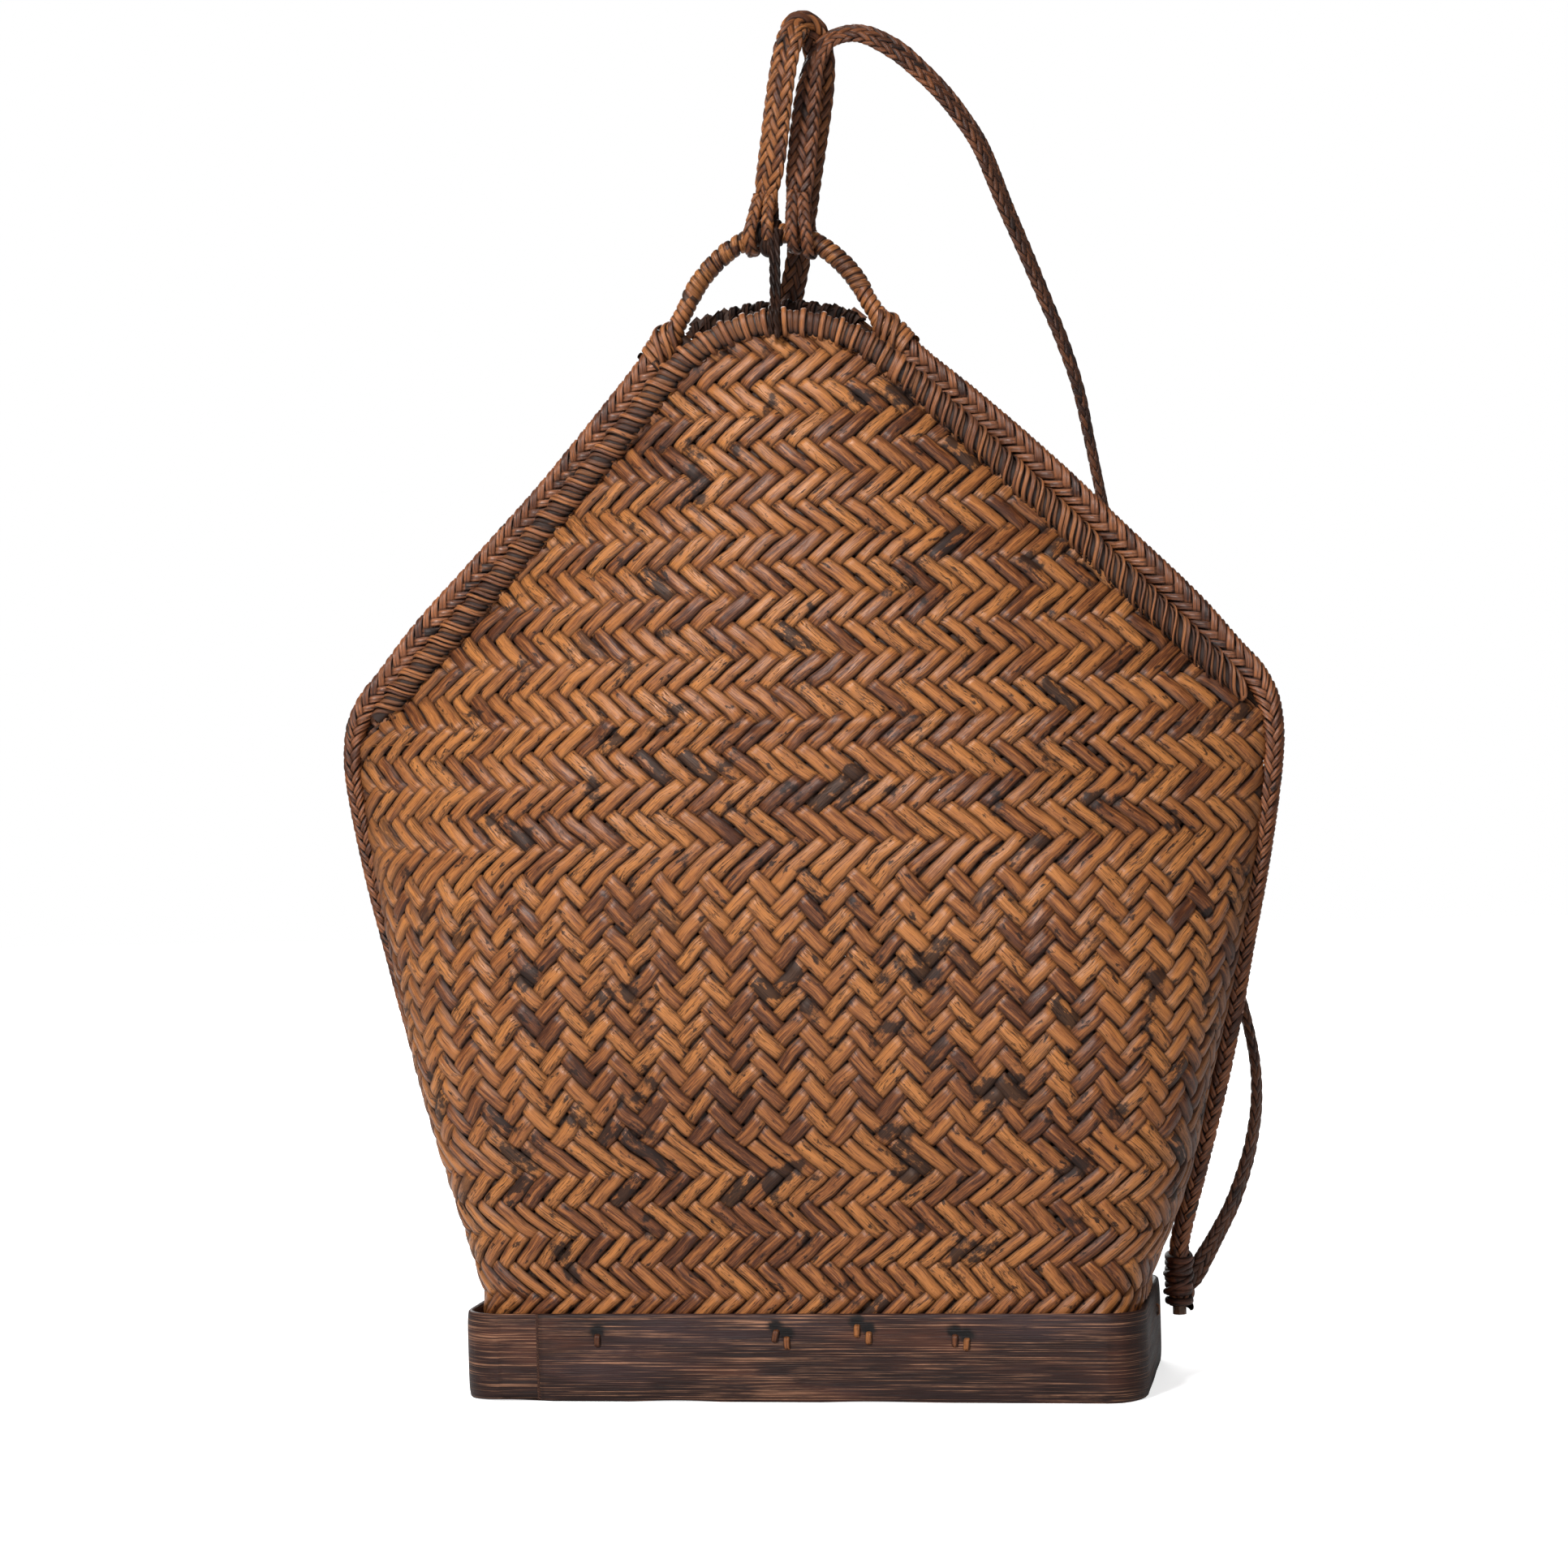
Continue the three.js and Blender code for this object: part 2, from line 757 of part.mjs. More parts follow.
function frameHalf() {
  const points = [];
  for (const [wide, deep, high] of frameSideShares) {
    const x = mix(frameFootX, frameHalfWidth, wide);
    points.push(new THREE.Vector3(x, frameFootY * deep, mix(frameFootZ, frameShoulderZ, high)));
  }
  for (const [wide, deep, high] of frameShoulderShares) {
    const z = mix(frameShoulderZ, archHeight, high);
    const x = (wide * (frameApex - z)) / Math.tan(slope);
    points.push(new THREE.Vector3(x, frameFootY * deep, z));
  }
  for (const high of frameSlopeShares) {
    const z = mix(frameShoulderZ, archHeight, high);
    const t = (high - frameSlopeShares[0]) / (1 - frameSlopeShares[0]);
    const x = (frameApex - z) / Math.tan(slope);
    points.push(new THREE.Vector3(x, mix(frameSlopeY, archY, t), z));
  }
  for (const [wide, high] of archShares) {
    const z = mix(frameShoulderZ, archHeight, high);
    points.push(new THREE.Vector3(archHalfWidth * wide, archY, z));
  }
  return points;
}

function frameCurve() {
  const half = frameHalf();
  const left = half.map((p) => new THREE.Vector3(-p.x, p.y, p.z));
  const top = new THREE.Vector3(0, archY, archHeight);
  const points = [...left, top, ...half.reverse()];
  for (const point of points) {
    point.x += lean(point.z, backLean);
  }
  return new THREE.CatmullRomCurve3(points, false, 'centripetal');
}

const frameLine = frameCurve();
frameLine.arcLengthDivisions = fineSteps;
const frameLength = frameLine.getLength();

// Place on a line with the outward direction in the picture plane and the one across it
function placeOn(curve, length, at) {
  const u = THREE.MathUtils.clamp(at / length, 0, 1);
  const along = curve.getTangentAt(u);
  const center = curve.getPointAt(u);
  if (at < 0) {
    center.addScaledVector(along, at);
  }
  if (at > length) {
    center.addScaledVector(along, at - length);
  }
  const outward = new THREE.Vector3().crossVectors(along, rearward).normalize();
  const across = new THREE.Vector3().crossVectors(outward, along).normalize();
  return { center, along, outward, across };
}

// Distance along a line to where it first reaches a height, from its start or from its end
function distanceToHeight(curve, length, height, fromEnd) {
  for (let i = 0; i <= fineSteps; i += 1) {
    const at = (length * i) / fineSteps;
    const place = fromEnd ? length - at : at;
    if (curve.getPointAt(place / length).z >= height) {
      return place;
    }
  }
  return length;
}

const archStart = distanceToHeight(frameLine, frameLength, archFootHeight, false);
const archFinish = distanceToHeight(frameLine, frameLength, archFootHeight, true);

// The braid lies wide on the slopes and turns its narrow side outwards down the sides
function braidHalves(z) {
  const t = smoothShare((z - braidTurnLow) / (braidTurnHigh - braidTurnLow));
  return { outward: mix(braidThin, braidWide, t) / 2, across: mix(braidWide, braidThin, t) / 2 };
}

const braidBore = rodDiameter + 2 * seatGap;

// Shared rings of the frame, closer together where it bends, so rods and braids stay concentric
function frameStations() {
  const turnStep = THREE.MathUtils.degToRad(stationTurnDegrees);
  const stations = [];
  let measure = 0;
  let before = frameLine.getTangentAt(0);
  for (let i = 1; i < fineSteps; i += 1) {
    const at = (frameLength * i) / fineSteps;
    const along = frameLine.getTangentAt(i / fineSteps);
    const previous = measure;
    measure += frameLength / fineSteps / stationLength + before.angleTo(along) / turnStep;
    before = along;
    if (Math.floor(measure) > Math.floor(previous)) {
      stations.push(at);
    }
  }
  return stations;
}

const sharedStations = frameStations();

function stationsBetween(from, to) {
  const low = Math.min(from, to);
  const high = Math.max(from, to);
  const inside = sharedStations.filter((at) => at > low + rodDiameter && at < high - rodDiameter);
  return [low, ...inside, high];
}

function edgeBraid(from, to) {
  const outer = [];
  const inner = [];
  for (const at of stationsBetween(from, to)) {
    const { center, outward, across } = placeOn(frameLine, frameLength, at);
    const half = braidHalves(center.z);
    outer.push(ovalRing(center, outward, across, half.outward, half.across, braidSides));
    inner.push(ovalRing(center, outward, across, braidBore / 2, braidBore / 2, braidSides));
  }
  return sleeve(outer, inner);
}

function rod(from, to) {
  const rings = [];
  for (const at of stationsBetween(from, to)) {
    const { center, outward, across } = placeOn(frameLine, frameLength, at);
    rings.push(ovalRing(center, outward, across, rodDiameter / 2, rodDiameter / 2, rodSides));
  }
  return loft(rings);
}

// Windings: one unbroken strand round a line, with its least gap to itself

function helixPlace(path, winding, turns) {
  const at = winding.start + winding.pitch * turns;
  const { center, outward, across } = path(at);
  const angle = winding.firstAngle + 2 * Math.PI * turns;
  const halves = winding.halves(center.z);
  const point = center.clone();
  point.addScaledVector(outward, halves.outward * Math.cos(angle));
  point.addScaledVector(across, halves.across * Math.sin(angle));
  const radial = new THREE.Vector3();
  radial.addScaledVector(outward, Math.cos(angle) / halves.outward);
  radial.addScaledVector(across, Math.sin(angle) / halves.across);
  return { point, radial: radial.normalize() };
}

function windingRings(path, winding) {
  const total = winding.loops * coilSteps;
  const places = [];
  for (let i = 0; i <= total; i += 1) {
    places.push(helixPlace(path, winding, i / coilSteps));
  }
  const rings = [];
  for (let i = 0; i <= total; i += 1) {
    const before = places[Math.max(i - 1, 0)].point;
    const after = places[Math.min(i + 1, total)].point;
    const along = new THREE.Vector3().subVectors(after, before).normalize();
    const { point, radial } = places[i];
    const sideways = new THREE.Vector3().crossVectors(along, radial).normalize();
    const outward = new THREE.Vector3().crossVectors(sideways, along).normalize();
    const halfThick = winding.thickness / 2;
    rings.push(ovalRing(point, outward, sideways, halfThick, winding.width / 2, coilSides));
    if (i === 0 || i === total) {
      const end = point.clone().addScaledVector(along, (i === 0 ? -1 : 1) * winding.width);
      const tail = ovalRing(end, outward, sideways, halfThick, winding.width / 2, coilSides);
      rings.splice(i === 0 ? 0 : rings.length, 0, tail);
    }
  }
  return rings;
}

function leastGap(rings) {
  let least = Infinity;
  for (let i = 0; i < rings.length; i += 1) {
    for (let j = i + coilSteps / 2; j < rings.length; j += 1) {
      for (const a of rings[i]) {
        for (const b of rings[j]) {
          least = Math.min(least, a.distanceTo(b));
        }
      }
    }
  }
  return least;
}

function windingPiece(name, path, winding, finish) {
  const rings = windingRings(path, winding);
  console.log(`${name}: least gap between loops ${leastGap(rings).toFixed(2)} mm`);
  return addPiece(name, loft(rings), finish);
}

const framePath = (at) => placeOn(frameLine, frameLength, at);

// Front rim: an oval band along the front wall's slopes and peak

function rimPath() {
  const center = frontRimApex - frontRimFillet / Math.cos(slope);
  const points = [];
  const lowX = (frontRimApex - rimEndHeight) / Math.tan(slope);
  const highX = frontRimFillet * Math.sin(slope);
  for (let i = 0; i < rimSlopeSteps; i += 1) {
    const x = -mix(lowX, highX, i / rimSlopeSteps);
    points.push(new THREE.Vector3(x, 0, frontRimApex + x * Math.tan(slope)));
  }
  for (let i = 0; i <= rimBends; i += 1) {
    const angle = mix(-slope, slope, i / rimBends);
    const x = frontRimFillet * Math.sin(angle);
    points.push(new THREE.Vector3(x, 0, center + frontRimFillet * Math.cos(angle)));
  }
  for (let i = rimSlopeSteps - 1; i >= 0; i -= 1) {
    points.push(new THREE.Vector3(-points[i].x, 0, points[i].z));
  }
  for (const point of points) {
    point.y = -edgeSetback(point.z, frontRimSetback, frontEdgeTop) + wallThickness / 2;
    point.x += lean(point.z, frontLean);
  }
  return points;
}

function frontRim() {
  const points = rimPath();
  const rings = [];
  const last = points.length - 1;
  for (let i = 0; i <= last; i += 1) {
    const before = points[Math.max(i - 1, 0)];
    const after = points[Math.min(i + 1, last)];
    const along = new THREE.Vector3().subVectors(after, before).normalize();
    const outward = new THREE.Vector3().crossVectors(along, rearward).normalize();
    const across = new THREE.Vector3().crossVectors(outward, along).normalize();
    const share = i === 0 || i === last ? rimEndShare : 1;
    const halfWide = (share * rimWidth) / 2;
    const halfDeep = (share * rimDepth) / 2;
    rings.push(ovalRing(points[i], outward, across, halfWide, halfDeep, rimSides));
  }
  return loft(rings);
}

// Round cord along a hand-set line
function cordAlong(points, diameter, steps, sides) {
  const section = new THREE.Shape();
  for (let k = 0; k < sides; k += 1) {
    const angle = (2 * Math.PI * k) / sides;
    const x = (diameter / 2) * Math.cos(angle);
    const y = (diameter / 2) * Math.sin(angle);
    if (k === 0) {
      section.moveTo(x, y);
    } else {
      section.lineTo(x, y);
    }
  }
  const extrudePath = new THREE.CatmullRomCurve3(points, false, 'centripetal');
  return new THREE.ExtrudeGeometry(section, { steps, extrudePath });
}

// Cord that closes the back wall's top edge between the arch's feet
function backTopCord() {
  const fillet = backEdgeFillet + seatGap + topCordDiameter / 2;
  const center = backEdgeTop - backEdgeFillet;
  const points = [];
  for (let i = 0; i <= topCordSteps; i += 1) {
    const x = mix(-topCordHalfSpan, topCordHalfSpan, i / topCordSteps);
    const z = center + Math.sqrt(fillet * fillet - x * x);
    const y = edgeSetback(z, backRimSetback, backEdgeTop) - wallThickness / 2;
    points.push(new THREE.Vector3(x + lean(z, backLean), y, z));
  }
  return cordAlong(points, topCordDiameter, topCordSteps, topCordSides);
}

// Strap hitch: the strap's turns round the arch, as a crowned collar on the wrapped rod
function archOuterRadius() {
  return rodDiameter / 2 + seatGap + archWrapThickness;
}

function distanceAtX(x) {
  for (let i = 0; i <= fineSteps; i += 1) {
    const at = mix(archStart, archFinish, i / fineSteps);
    if (frameLine.getPointAt(at / frameLength).x >= x) {
      return at;
    }
  }
  return archFinish;
}

function hitchCollar(x) {
  const inner = archOuterRadius() + 2 * seatGap;
  const outer = inner + hitchThickness;
  const half = hitchWidth / 2;
  const crown = hitchThickness * hitchCrownShare;
  const profile = [
    new THREE.Vector2(inner, -half),
    new THREE.Vector2(outer - crown, -half),
    new THREE.Vector2(outer, -half / 2),
    new THREE.Vector2(outer, half / 2),
    new THREE.Vector2(outer - crown, half),
    new THREE.Vector2(inner, half),
    new THREE.Vector2(inner, -half),
  ];
  const collar = new THREE.LatheGeometry(profile, collarSides);
  const { center, along, outward, across } = framePath(distanceAtX(x));
  const inward = outward.clone().negate();
  collar.scale(1, 1, hitchStretchShare);
  collar.translate(0, 0, hitchDrop);
  collar.applyMatrix4(new THREE.Matrix4().makeBasis(across, along, inward).setPosition(center));
  return collar;
}

// Straps: flat braids on a hand-set route, round at both anchors so that they can swing

// Each place: shares of the half width that it follows, of the foot's half depth and of the arch's
// height, then the share of a quarter turn that the flat side has twisted
const strapLeftShares = [
  [-0.0546, 0.1178, 1.0253, 0.3],
  [-0.0488, 0.0789, 1.0415, 0.25],
  [-0.0375, 0.0292, 1.0583, 0.2],
  [-0.0225, 0.0097, 1.0951, 0.2],
  [-0.0085, 0.0195, 1.1329, 0.24],
  [0.006, 0.0789, 1.1638, 0.2],
  [0.023, 0.1968, 1.1825, 0.14],
  [0.0458, 0.3243, 1.1795, 0.11],
  [0.0582, 0.413, 1.159, 0.11],
  [0.0561, 0.4519, 1.1322, 0.22],
  [0.0437, 0.4714, 1.0957, 0.33],
  [0.0291, 0.4919, 1.0581, 0.44],
  [0.0125, 0.5114, 1.0139, 0.56],
  [-0.0094, 0.5308, 0.9675, 0.56],
  [-0.065, 0.5892, 0.8978, 0.44],
  [-0.1923, 0.7351, 0.7626, 0.33],
  [-0.3326, 0.8984, 0.6232, 0.28],
  [-0.4792, 1.0422, 0.4816, 0.28],
  [-0.6622, 1.1405, 0.3422, 0.33],
  [-0.8546, 1.16, 0.2218, 0.44],
  [-0.9703, 1.1146, 0.1204, 0.44],
  [-1.006, 1, 0.057, 0.33],
];
const strapRightShares = [
  [0.0307, 0.1178, 1.0253, 0.1],
  [0.0343, 0.1297, 1.0415, 0.09],
  [0.0391, 0.147, 1.0587, 0.09],
  [0.0459, 0.1773, 1.0894, 0.14],
  [0.0578, 0.2065, 1.1278, 0.33],
  [0.0728, 0.2357, 1.1521, 0.5],
  [0.104, 0.2714, 1.1694, 0.56],
  [0.1637, 0.3146, 1.1745, 0.56],
  [0.2375, 0.3632, 1.1603, 0.53],
  [0.2906, 0.413, 1.1403, 0.6],
  [0.3332, 0.4519, 1.1203, 0.64],
  [0.3686, 0.5114, 1.0993, 0.68],
  [0.4029, 0.5503, 1.0753, 0.71],
  [0.4538, 0.6097, 1.0203, 0.76],
  [0.4923, 0.6486, 0.9806, 0.8],
  [0.5317, 0.6778, 0.9385, 0.84],
  [0.567, 0.7081, 0.9001, 0.87],
  [0.5967, 0.7373, 0.8597, 0.92],
  [0.6175, 0.7859, 0.8133, 0.98],
  [0.6445, 0.8357, 0.7499, 1],
  [0.7069, 0.9341, 0.6126, 1],
  [0.8169, 1.0616, 0.4626, 1],
  [0.9793, 1.1697, 0.338, 0.98],
  [1.0437, 1.1795, 0.2957, 0.98],
  [1.0966, 1.1795, 0.2556, 0.96],
  [1.1278, 1.1795, 0.2197, 0.91],
  [1.1392, 1.1795, 0.1867, 0.86],
  [1.1361, 1.1795, 0.1603, 0.8],
  [1.12, 1.1795, 0.1312, 0.76],
  [1.0891, 1.1795, 0.1048, 0.71],
  [1.0532, 1.1405, 0.0815, 0.61],
  [1.0252, 1.0811, 0.0665, 0.44],
  [1.006, 1, 0.057, 0.33],
];

// Half width that the straps' places are shares of: the frame's at foot and shoulder, the arch's above
const strapArchShare = 4.858586;

function strapReach(z) {
  const low = smoothShare((z - frameFootZ) / (frameShoulderZ - frameFootZ));
  const high = smoothShare((z - frameShoulderZ) / (archHeight - frameShoulderZ));
  return mix(mix(frameFootX, frameHalfWidth, low), archHalfWidth * strapArchShare, high);
}

function strapPlaces(shares) {
  const depth = bandDepth / 2 - strapFootInset;
  return shares.map(([x, y, z, twist]) => {
    const height = z * archHeight;
    return { at: new THREE.Vector3(x * strapReach(height), y * depth, height), twist: twist * quarter };
  });
}

function strapSize(share, length) {
  const fromTop = share * length;
  const fromKnot = length - fromTop;
  const swell = smoothShare(Math.min(fromTop, fromKnot) / strapWidth);
  const wide = mix(strapTipDiameter, strapWidth, swell) / 2;
  return { wide, thick: mix(strapTipDiameter, strapThickness, swell) / 2 };
}

function strap(shares) {
  const places = strapPlaces(shares);
  const line = new THREE.CatmullRomCurve3(places.map((p) => p.at), false, 'centripetal');
  line.arcLengthDivisions = fineSteps;
  const length = line.getLength();
  const rings = [];
  for (let i = 0; i <= strapSteps; i += 1) {
    const share = i / strapSteps;
    const t = line.getUtoTmapping(share) * (places.length - 1);
    const low = Math.min(Math.floor(t), places.length - 2);
    const twist = mix(places[low].twist, places[low + 1].twist, t - low);
    const along = line.getTangentAt(share);
    const flat = new THREE.Vector3().crossVectors(along, rearward).normalize();
    const deep = new THREE.Vector3().crossVectors(flat, along).normalize();
    const wideWay = flat.clone().multiplyScalar(Math.cos(twist));
    wideWay.addScaledVector(deep, Math.sin(twist));
    const thinWay = new THREE.Vector3().crossVectors(along, wideWay).normalize();
    const size = strapSize(share, length);
    rings.push(ovalRing(line.getPointAt(share), wideWay, thinWay, size.wide, size.thick, strapSides));
  }
  return { geometry: loft(rings), length, start: places[0].at, finish: places.at(-1).at };
}

function strapPiece(name, shares) {
  const made = strap(shares);
  let solid = toManifold(made.geometry);
  for (const [at, diameter] of [[made.start, strapTipDiameter], [made.finish, strapKnotDiameter]]) {
    const ball = new THREE.SphereGeometry(diameter / 2, ballColumns, ballRows);
    ball.translate(at.x, at.y, at.z);
    solid = solid.add(toManifold(ball));
  }
  addPiece(name, fromManifold(solid), 'strap');
  console.log(`${name}: ${made.length.toFixed(0)} mm long`);
  return made;
}

// Shares of the way down and forward from the arch to the front rim
const tieCordShares = [
  [0.3, 0.25],
  [0.62, 0.6],
];

// Tie cord: wound on the arch, then down over the front rim
function tieCord() {
  const radius = archOuterRadius() + seatGap + tieCordDiameter / 2;
  const middle = distanceAtX(tieCordX);
  const pitch = tieCordDiameter + coilGap;
  const points = [];
  const steps = tieCordLoops * coilSteps;
  for (let i = 0; i <= steps; i += 1) {
    const turns = i / coilSteps;
    const at = middle + pitch * (turns - tieCordLoops / 2);
    const { center, outward, across } = framePath(at);
    const angle = -quarter - 2 * Math.PI * turns;
    const point = center.clone();
    point.addScaledVector(outward, radius * Math.cos(angle));
    point.addScaledVector(across, radius * Math.sin(angle));
    points.push(point);
  }
  const rimTop = peakTop(frontRimApex, frontRimFillet);
  const rimY = -edgeSetback(rimTop, frontRimSetback, frontEdgeTop) + wallThickness / 2;
  const clear = seatGap + tieCordDiameter / 2;
  const overWide = rimWidth / 2 + clear;
  const overDeep = rimDepth / 2 + clear;
  const last = points[points.length - 1];
  const x = last.x + tieCordDrift;
  for (const [down, forward] of tieCordShares) {
    const y = mix(last.y, rimY, forward);
    points.push(new THREE.Vector3(mix(last.x, x, down), y, mix(last.z, rimTop, down)));
  }
  for (let i = 0; i <= tieCordBends; i += 1) {
    const angle = mix(quarter / tieCordBends, quarter, i / tieCordBends);
    const y = rimY - overDeep * Math.sin(angle);
    points.push(new THREE.Vector3(x, y, rimTop + overWide * Math.cos(angle)));
  }
  points.push(new THREE.Vector3(x, rimY - overDeep, rimTop - tieCordDrop / 2));
  points.push(new THREE.Vector3(x, rimY - overDeep, rimTop - tieCordDrop));
  return cordAlong(points, tieCordDiameter, tieCordSteps, tieCordSides);
}

// Assembly

addPiece('woven_body', wovenBody(), 'plait');
addPiece('foot_band', bandWithHoles(), 'wood');
for (const stitch of stitches) {
  addPiece(stitch.name, stitchGeometry(stitch), 'wrap');
}
addPiece('front_rim', frontRim(), 'wrap');
addPiece('back_top_cord', backTopCord(), 'cord');

const footEnd = braidFootLift;
addPiece('edge_braid_left', edgeBraid(footEnd, archStart), 'braid');
addPiece('edge_braid_right', edgeBraid(frameLength - footEnd, archFinish), 'braid');
addPiece('edge_rod_left', rod(0, archStart - rodTuck), 'wrap');
addPiece('edge_rod_right', rod(frameLength, archFinish + rodTuck), 'wrap');
const archRodStart = archStart - rodTuck + seatGap;
const archRodFinish = archFinish + rodTuck - seatGap;
addPiece('arch_rod', rod(archRodStart, archRodFinish), 'wrap');

const lashPitch = archLashWidth + coilGap;
const lashSpan = archLashLoops * lashPitch;
const wrapStart = archStart + lashSpan + 2 * archLashWidth;
const wrapFinish = archFinish - lashSpan - 2 * archLashWidth;

function snugHalves(inner, thickness) {
  const radius = inner / 2 + seatGap + thickness / 2;
  return () => ({ outward: radius, across: radius });
}

windingPiece('arch_wrap', framePath, {
  start: wrapStart,
  pitch: (wrapFinish - wrapStart) / archWrapLoops,
  loops: archWrapLoops,
  firstAngle: 0,
  halves: snugHalves(rodDiameter, archWrapThickness),
  width: archWrapWidth,
  thickness: archWrapThickness,
}, 'wrap');

for (const [name, start] of [
  ['arch_lashing_left', archStart + archLashWidth],
  ['arch_lashing_right', archFinish - lashSpan - archLashWidth],
]) {
  windingPiece(name, framePath, {
    start,
    pitch: lashPitch,
    loops: archLashLoops,
    firstAngle: Math.PI,
    halves: snugHalves(rodDiameter, archLashThickness),
    width: archLashWidth,
    thickness: archLashThickness,
  }, 'wrap');
}

addPiece('tie_cord', tieCord(), 'cord');
addPiece('strap_hitch_left', hitchCollar(hitchLeftX), 'strap');
addPiece('strap_hitch_right', hitchCollar(hitchRightX), 'strap');
const leftStrap = strapPiece('strap_left', strapLeftShares);
const rightStrap = strapPiece('strap_right', strapRightShares);
for (const made of [leftStrap, rightStrap]) {
  console.log('strap anchors', made.start.toArray(), made.finish.toArray());
}

function cornerHalves(z) {
  const half = braidHalves(z);
  const grow = seatGap + cornerLashThickness / 2;
  return { outward: half.outward + grow, across: half.across + grow };
}

const cornerPitch = cornerLashWidth + cornerLashGap;
for (const [name, start] of [
  ['corner_lashing_left', footEnd + cornerLashWidth / 2],
  ['corner_lashing_right', frameLength - footEnd - cornerLashWidth / 2],
]) {
  windingPiece(name, framePath, {
    start,
    pitch: name.endsWith('left') ? cornerPitch : -cornerPitch,
    loops: cornerLashLoops,
    firstAngle: 0,
    halves: cornerHalves,
    width: cornerLashWidth,
    thickness: cornerLashThickness,
  }, 'cord');
}

export default basket;
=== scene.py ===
import math

import bpy
import numpy as np
from mathutils import Matrix, Vector


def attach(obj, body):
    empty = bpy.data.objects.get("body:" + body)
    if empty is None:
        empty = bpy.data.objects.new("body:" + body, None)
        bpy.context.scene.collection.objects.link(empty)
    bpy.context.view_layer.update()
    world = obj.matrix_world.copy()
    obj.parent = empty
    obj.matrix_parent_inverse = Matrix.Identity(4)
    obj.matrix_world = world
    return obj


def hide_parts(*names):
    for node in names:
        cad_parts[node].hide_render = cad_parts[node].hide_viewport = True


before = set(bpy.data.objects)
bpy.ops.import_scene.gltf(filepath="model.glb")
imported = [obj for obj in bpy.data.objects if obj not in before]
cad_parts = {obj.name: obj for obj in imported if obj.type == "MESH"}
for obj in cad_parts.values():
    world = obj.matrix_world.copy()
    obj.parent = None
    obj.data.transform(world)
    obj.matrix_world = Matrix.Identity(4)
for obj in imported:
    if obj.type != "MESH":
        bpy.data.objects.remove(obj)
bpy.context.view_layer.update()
MM = 0.001
rng = np.random.default_rng(11)
UP = np.array([0.0, 0.0, 1.0])
REAR = np.array([0.0, 1.0, 0.0])

# ---- camera

CAMERA_DISTANCE = 1350.0
CAMERA_TARGET = np.array([-8.0, 0.0, 245.0])
CAMERA_TURN = math.radians(10.0)
CAMERA_ROLL = math.radians(1.65)
CAMERA_LENS = 75.09
CAMERA_SENSOR = 36.0
CAMERA_CLIP_END = 50.0


def add_camera():
    forward = np.array([-math.sin(CAMERA_TURN), math.cos(CAMERA_TURN), 0.0])
    level = np.array([math.cos(CAMERA_TURN), math.sin(CAMERA_TURN), 0.0])
    rise = np.cross(level, forward)
    right = math.cos(CAMERA_ROLL) * level - math.sin(CAMERA_ROLL) * rise
    up = math.sin(CAMERA_ROLL) * level + math.cos(CAMERA_ROLL) * rise
    place = (CAMERA_TARGET - forward * CAMERA_DISTANCE) * MM
    data = bpy.data.cameras.new("camera")
    data.lens = CAMERA_LENS
    data.sensor_width = CAMERA_SENSOR
    data.clip_end = CAMERA_CLIP_END
    camera = bpy.data.objects.new("camera", data)
    rows = np.column_stack([right, up, -forward, place])
    camera.matrix_world = Matrix([list(r) for r in rows] + [[0, 0, 0, 1]])
    bpy.context.scene.collection.objects.link(camera)
    bpy.context.scene.camera = camera


add_camera()

# ---- small maths


def smooth(t):
    t = np.clip(t, 0.0, 1.0)
    return t * t * (3.0 - 2.0 * t)


def mix(a, b, t):
    return a + (b - a) * t


def unit(v):
    length = np.linalg.norm(v, axis=-1, keepdims=True)
    return v / np.maximum(length, 1e-12)


def running(steps):
    """Distances from the first point of a row whose steps are given."""
    return np.concatenate([[0], np.cumsum(steps)])


# ---- meshes


def add_mesh(name, points, quads, marks, material):
    """Smooth mesh object of quads; points are in millimetres, and marks are named values at them."""
    used, quads = np.unique(quads, return_inverse=True)
    quads = quads.reshape(-1, 4)
    mesh = bpy.data.meshes.new(name)
    mesh.vertices.add(len(used))
    mesh.vertices.foreach_set("co", (points[used] * MM).astype(np.float32).reshape(-1))
    mesh.loops.add(quads.size)
    mesh.loops.foreach_set("vertex_index", quads.astype(np.int32).reshape(-1))
    mesh.polygons.add(len(quads))
    mesh.polygons.foreach_set("loop_start", np.arange(0, quads.size, 4, dtype=np.int32))
    mesh.polygons.foreach_set("loop_total", np.full(len(quads), 4, np.int32))
    mesh.polygons.foreach_set("use_smooth", np.ones(len(quads), bool))
    mesh.update(calc_edges=True)
    mesh.validate()
    for key, values in marks.items():
        layer = mesh.attributes.new(key, "FLOAT", "POINT")
        layer.data.foreach_set("value", values[used].astype(np.float32))
    thing = bpy.data.objects.new(name, mesh)
    bpy.context.scene.collection.objects.link(thing)
    mesh.materials.append(material)
    return thing


def grid_quads(rows, columns, closed=False):
    """Quads of a grid of rows x columns points; closed joins the last column to the first."""
    r = np.arange(rows - 1)[:, None]
    c = np.arange(columns if closed else columns - 1)[None, :]
    a = r * columns + c
    b = r * columns + (c + 1) % columns
    return np.stack([a, b, b + columns, a + columns], -1).reshape(-1, 4)


def strips_quads(count, rows, columns):
    """Quads of several grids that lie one after another."""
    shift = (np.arange(count) * rows * columns)[:, None, None]
    return (grid_quads(rows, columns)[None] + shift).reshape(-1, 4)


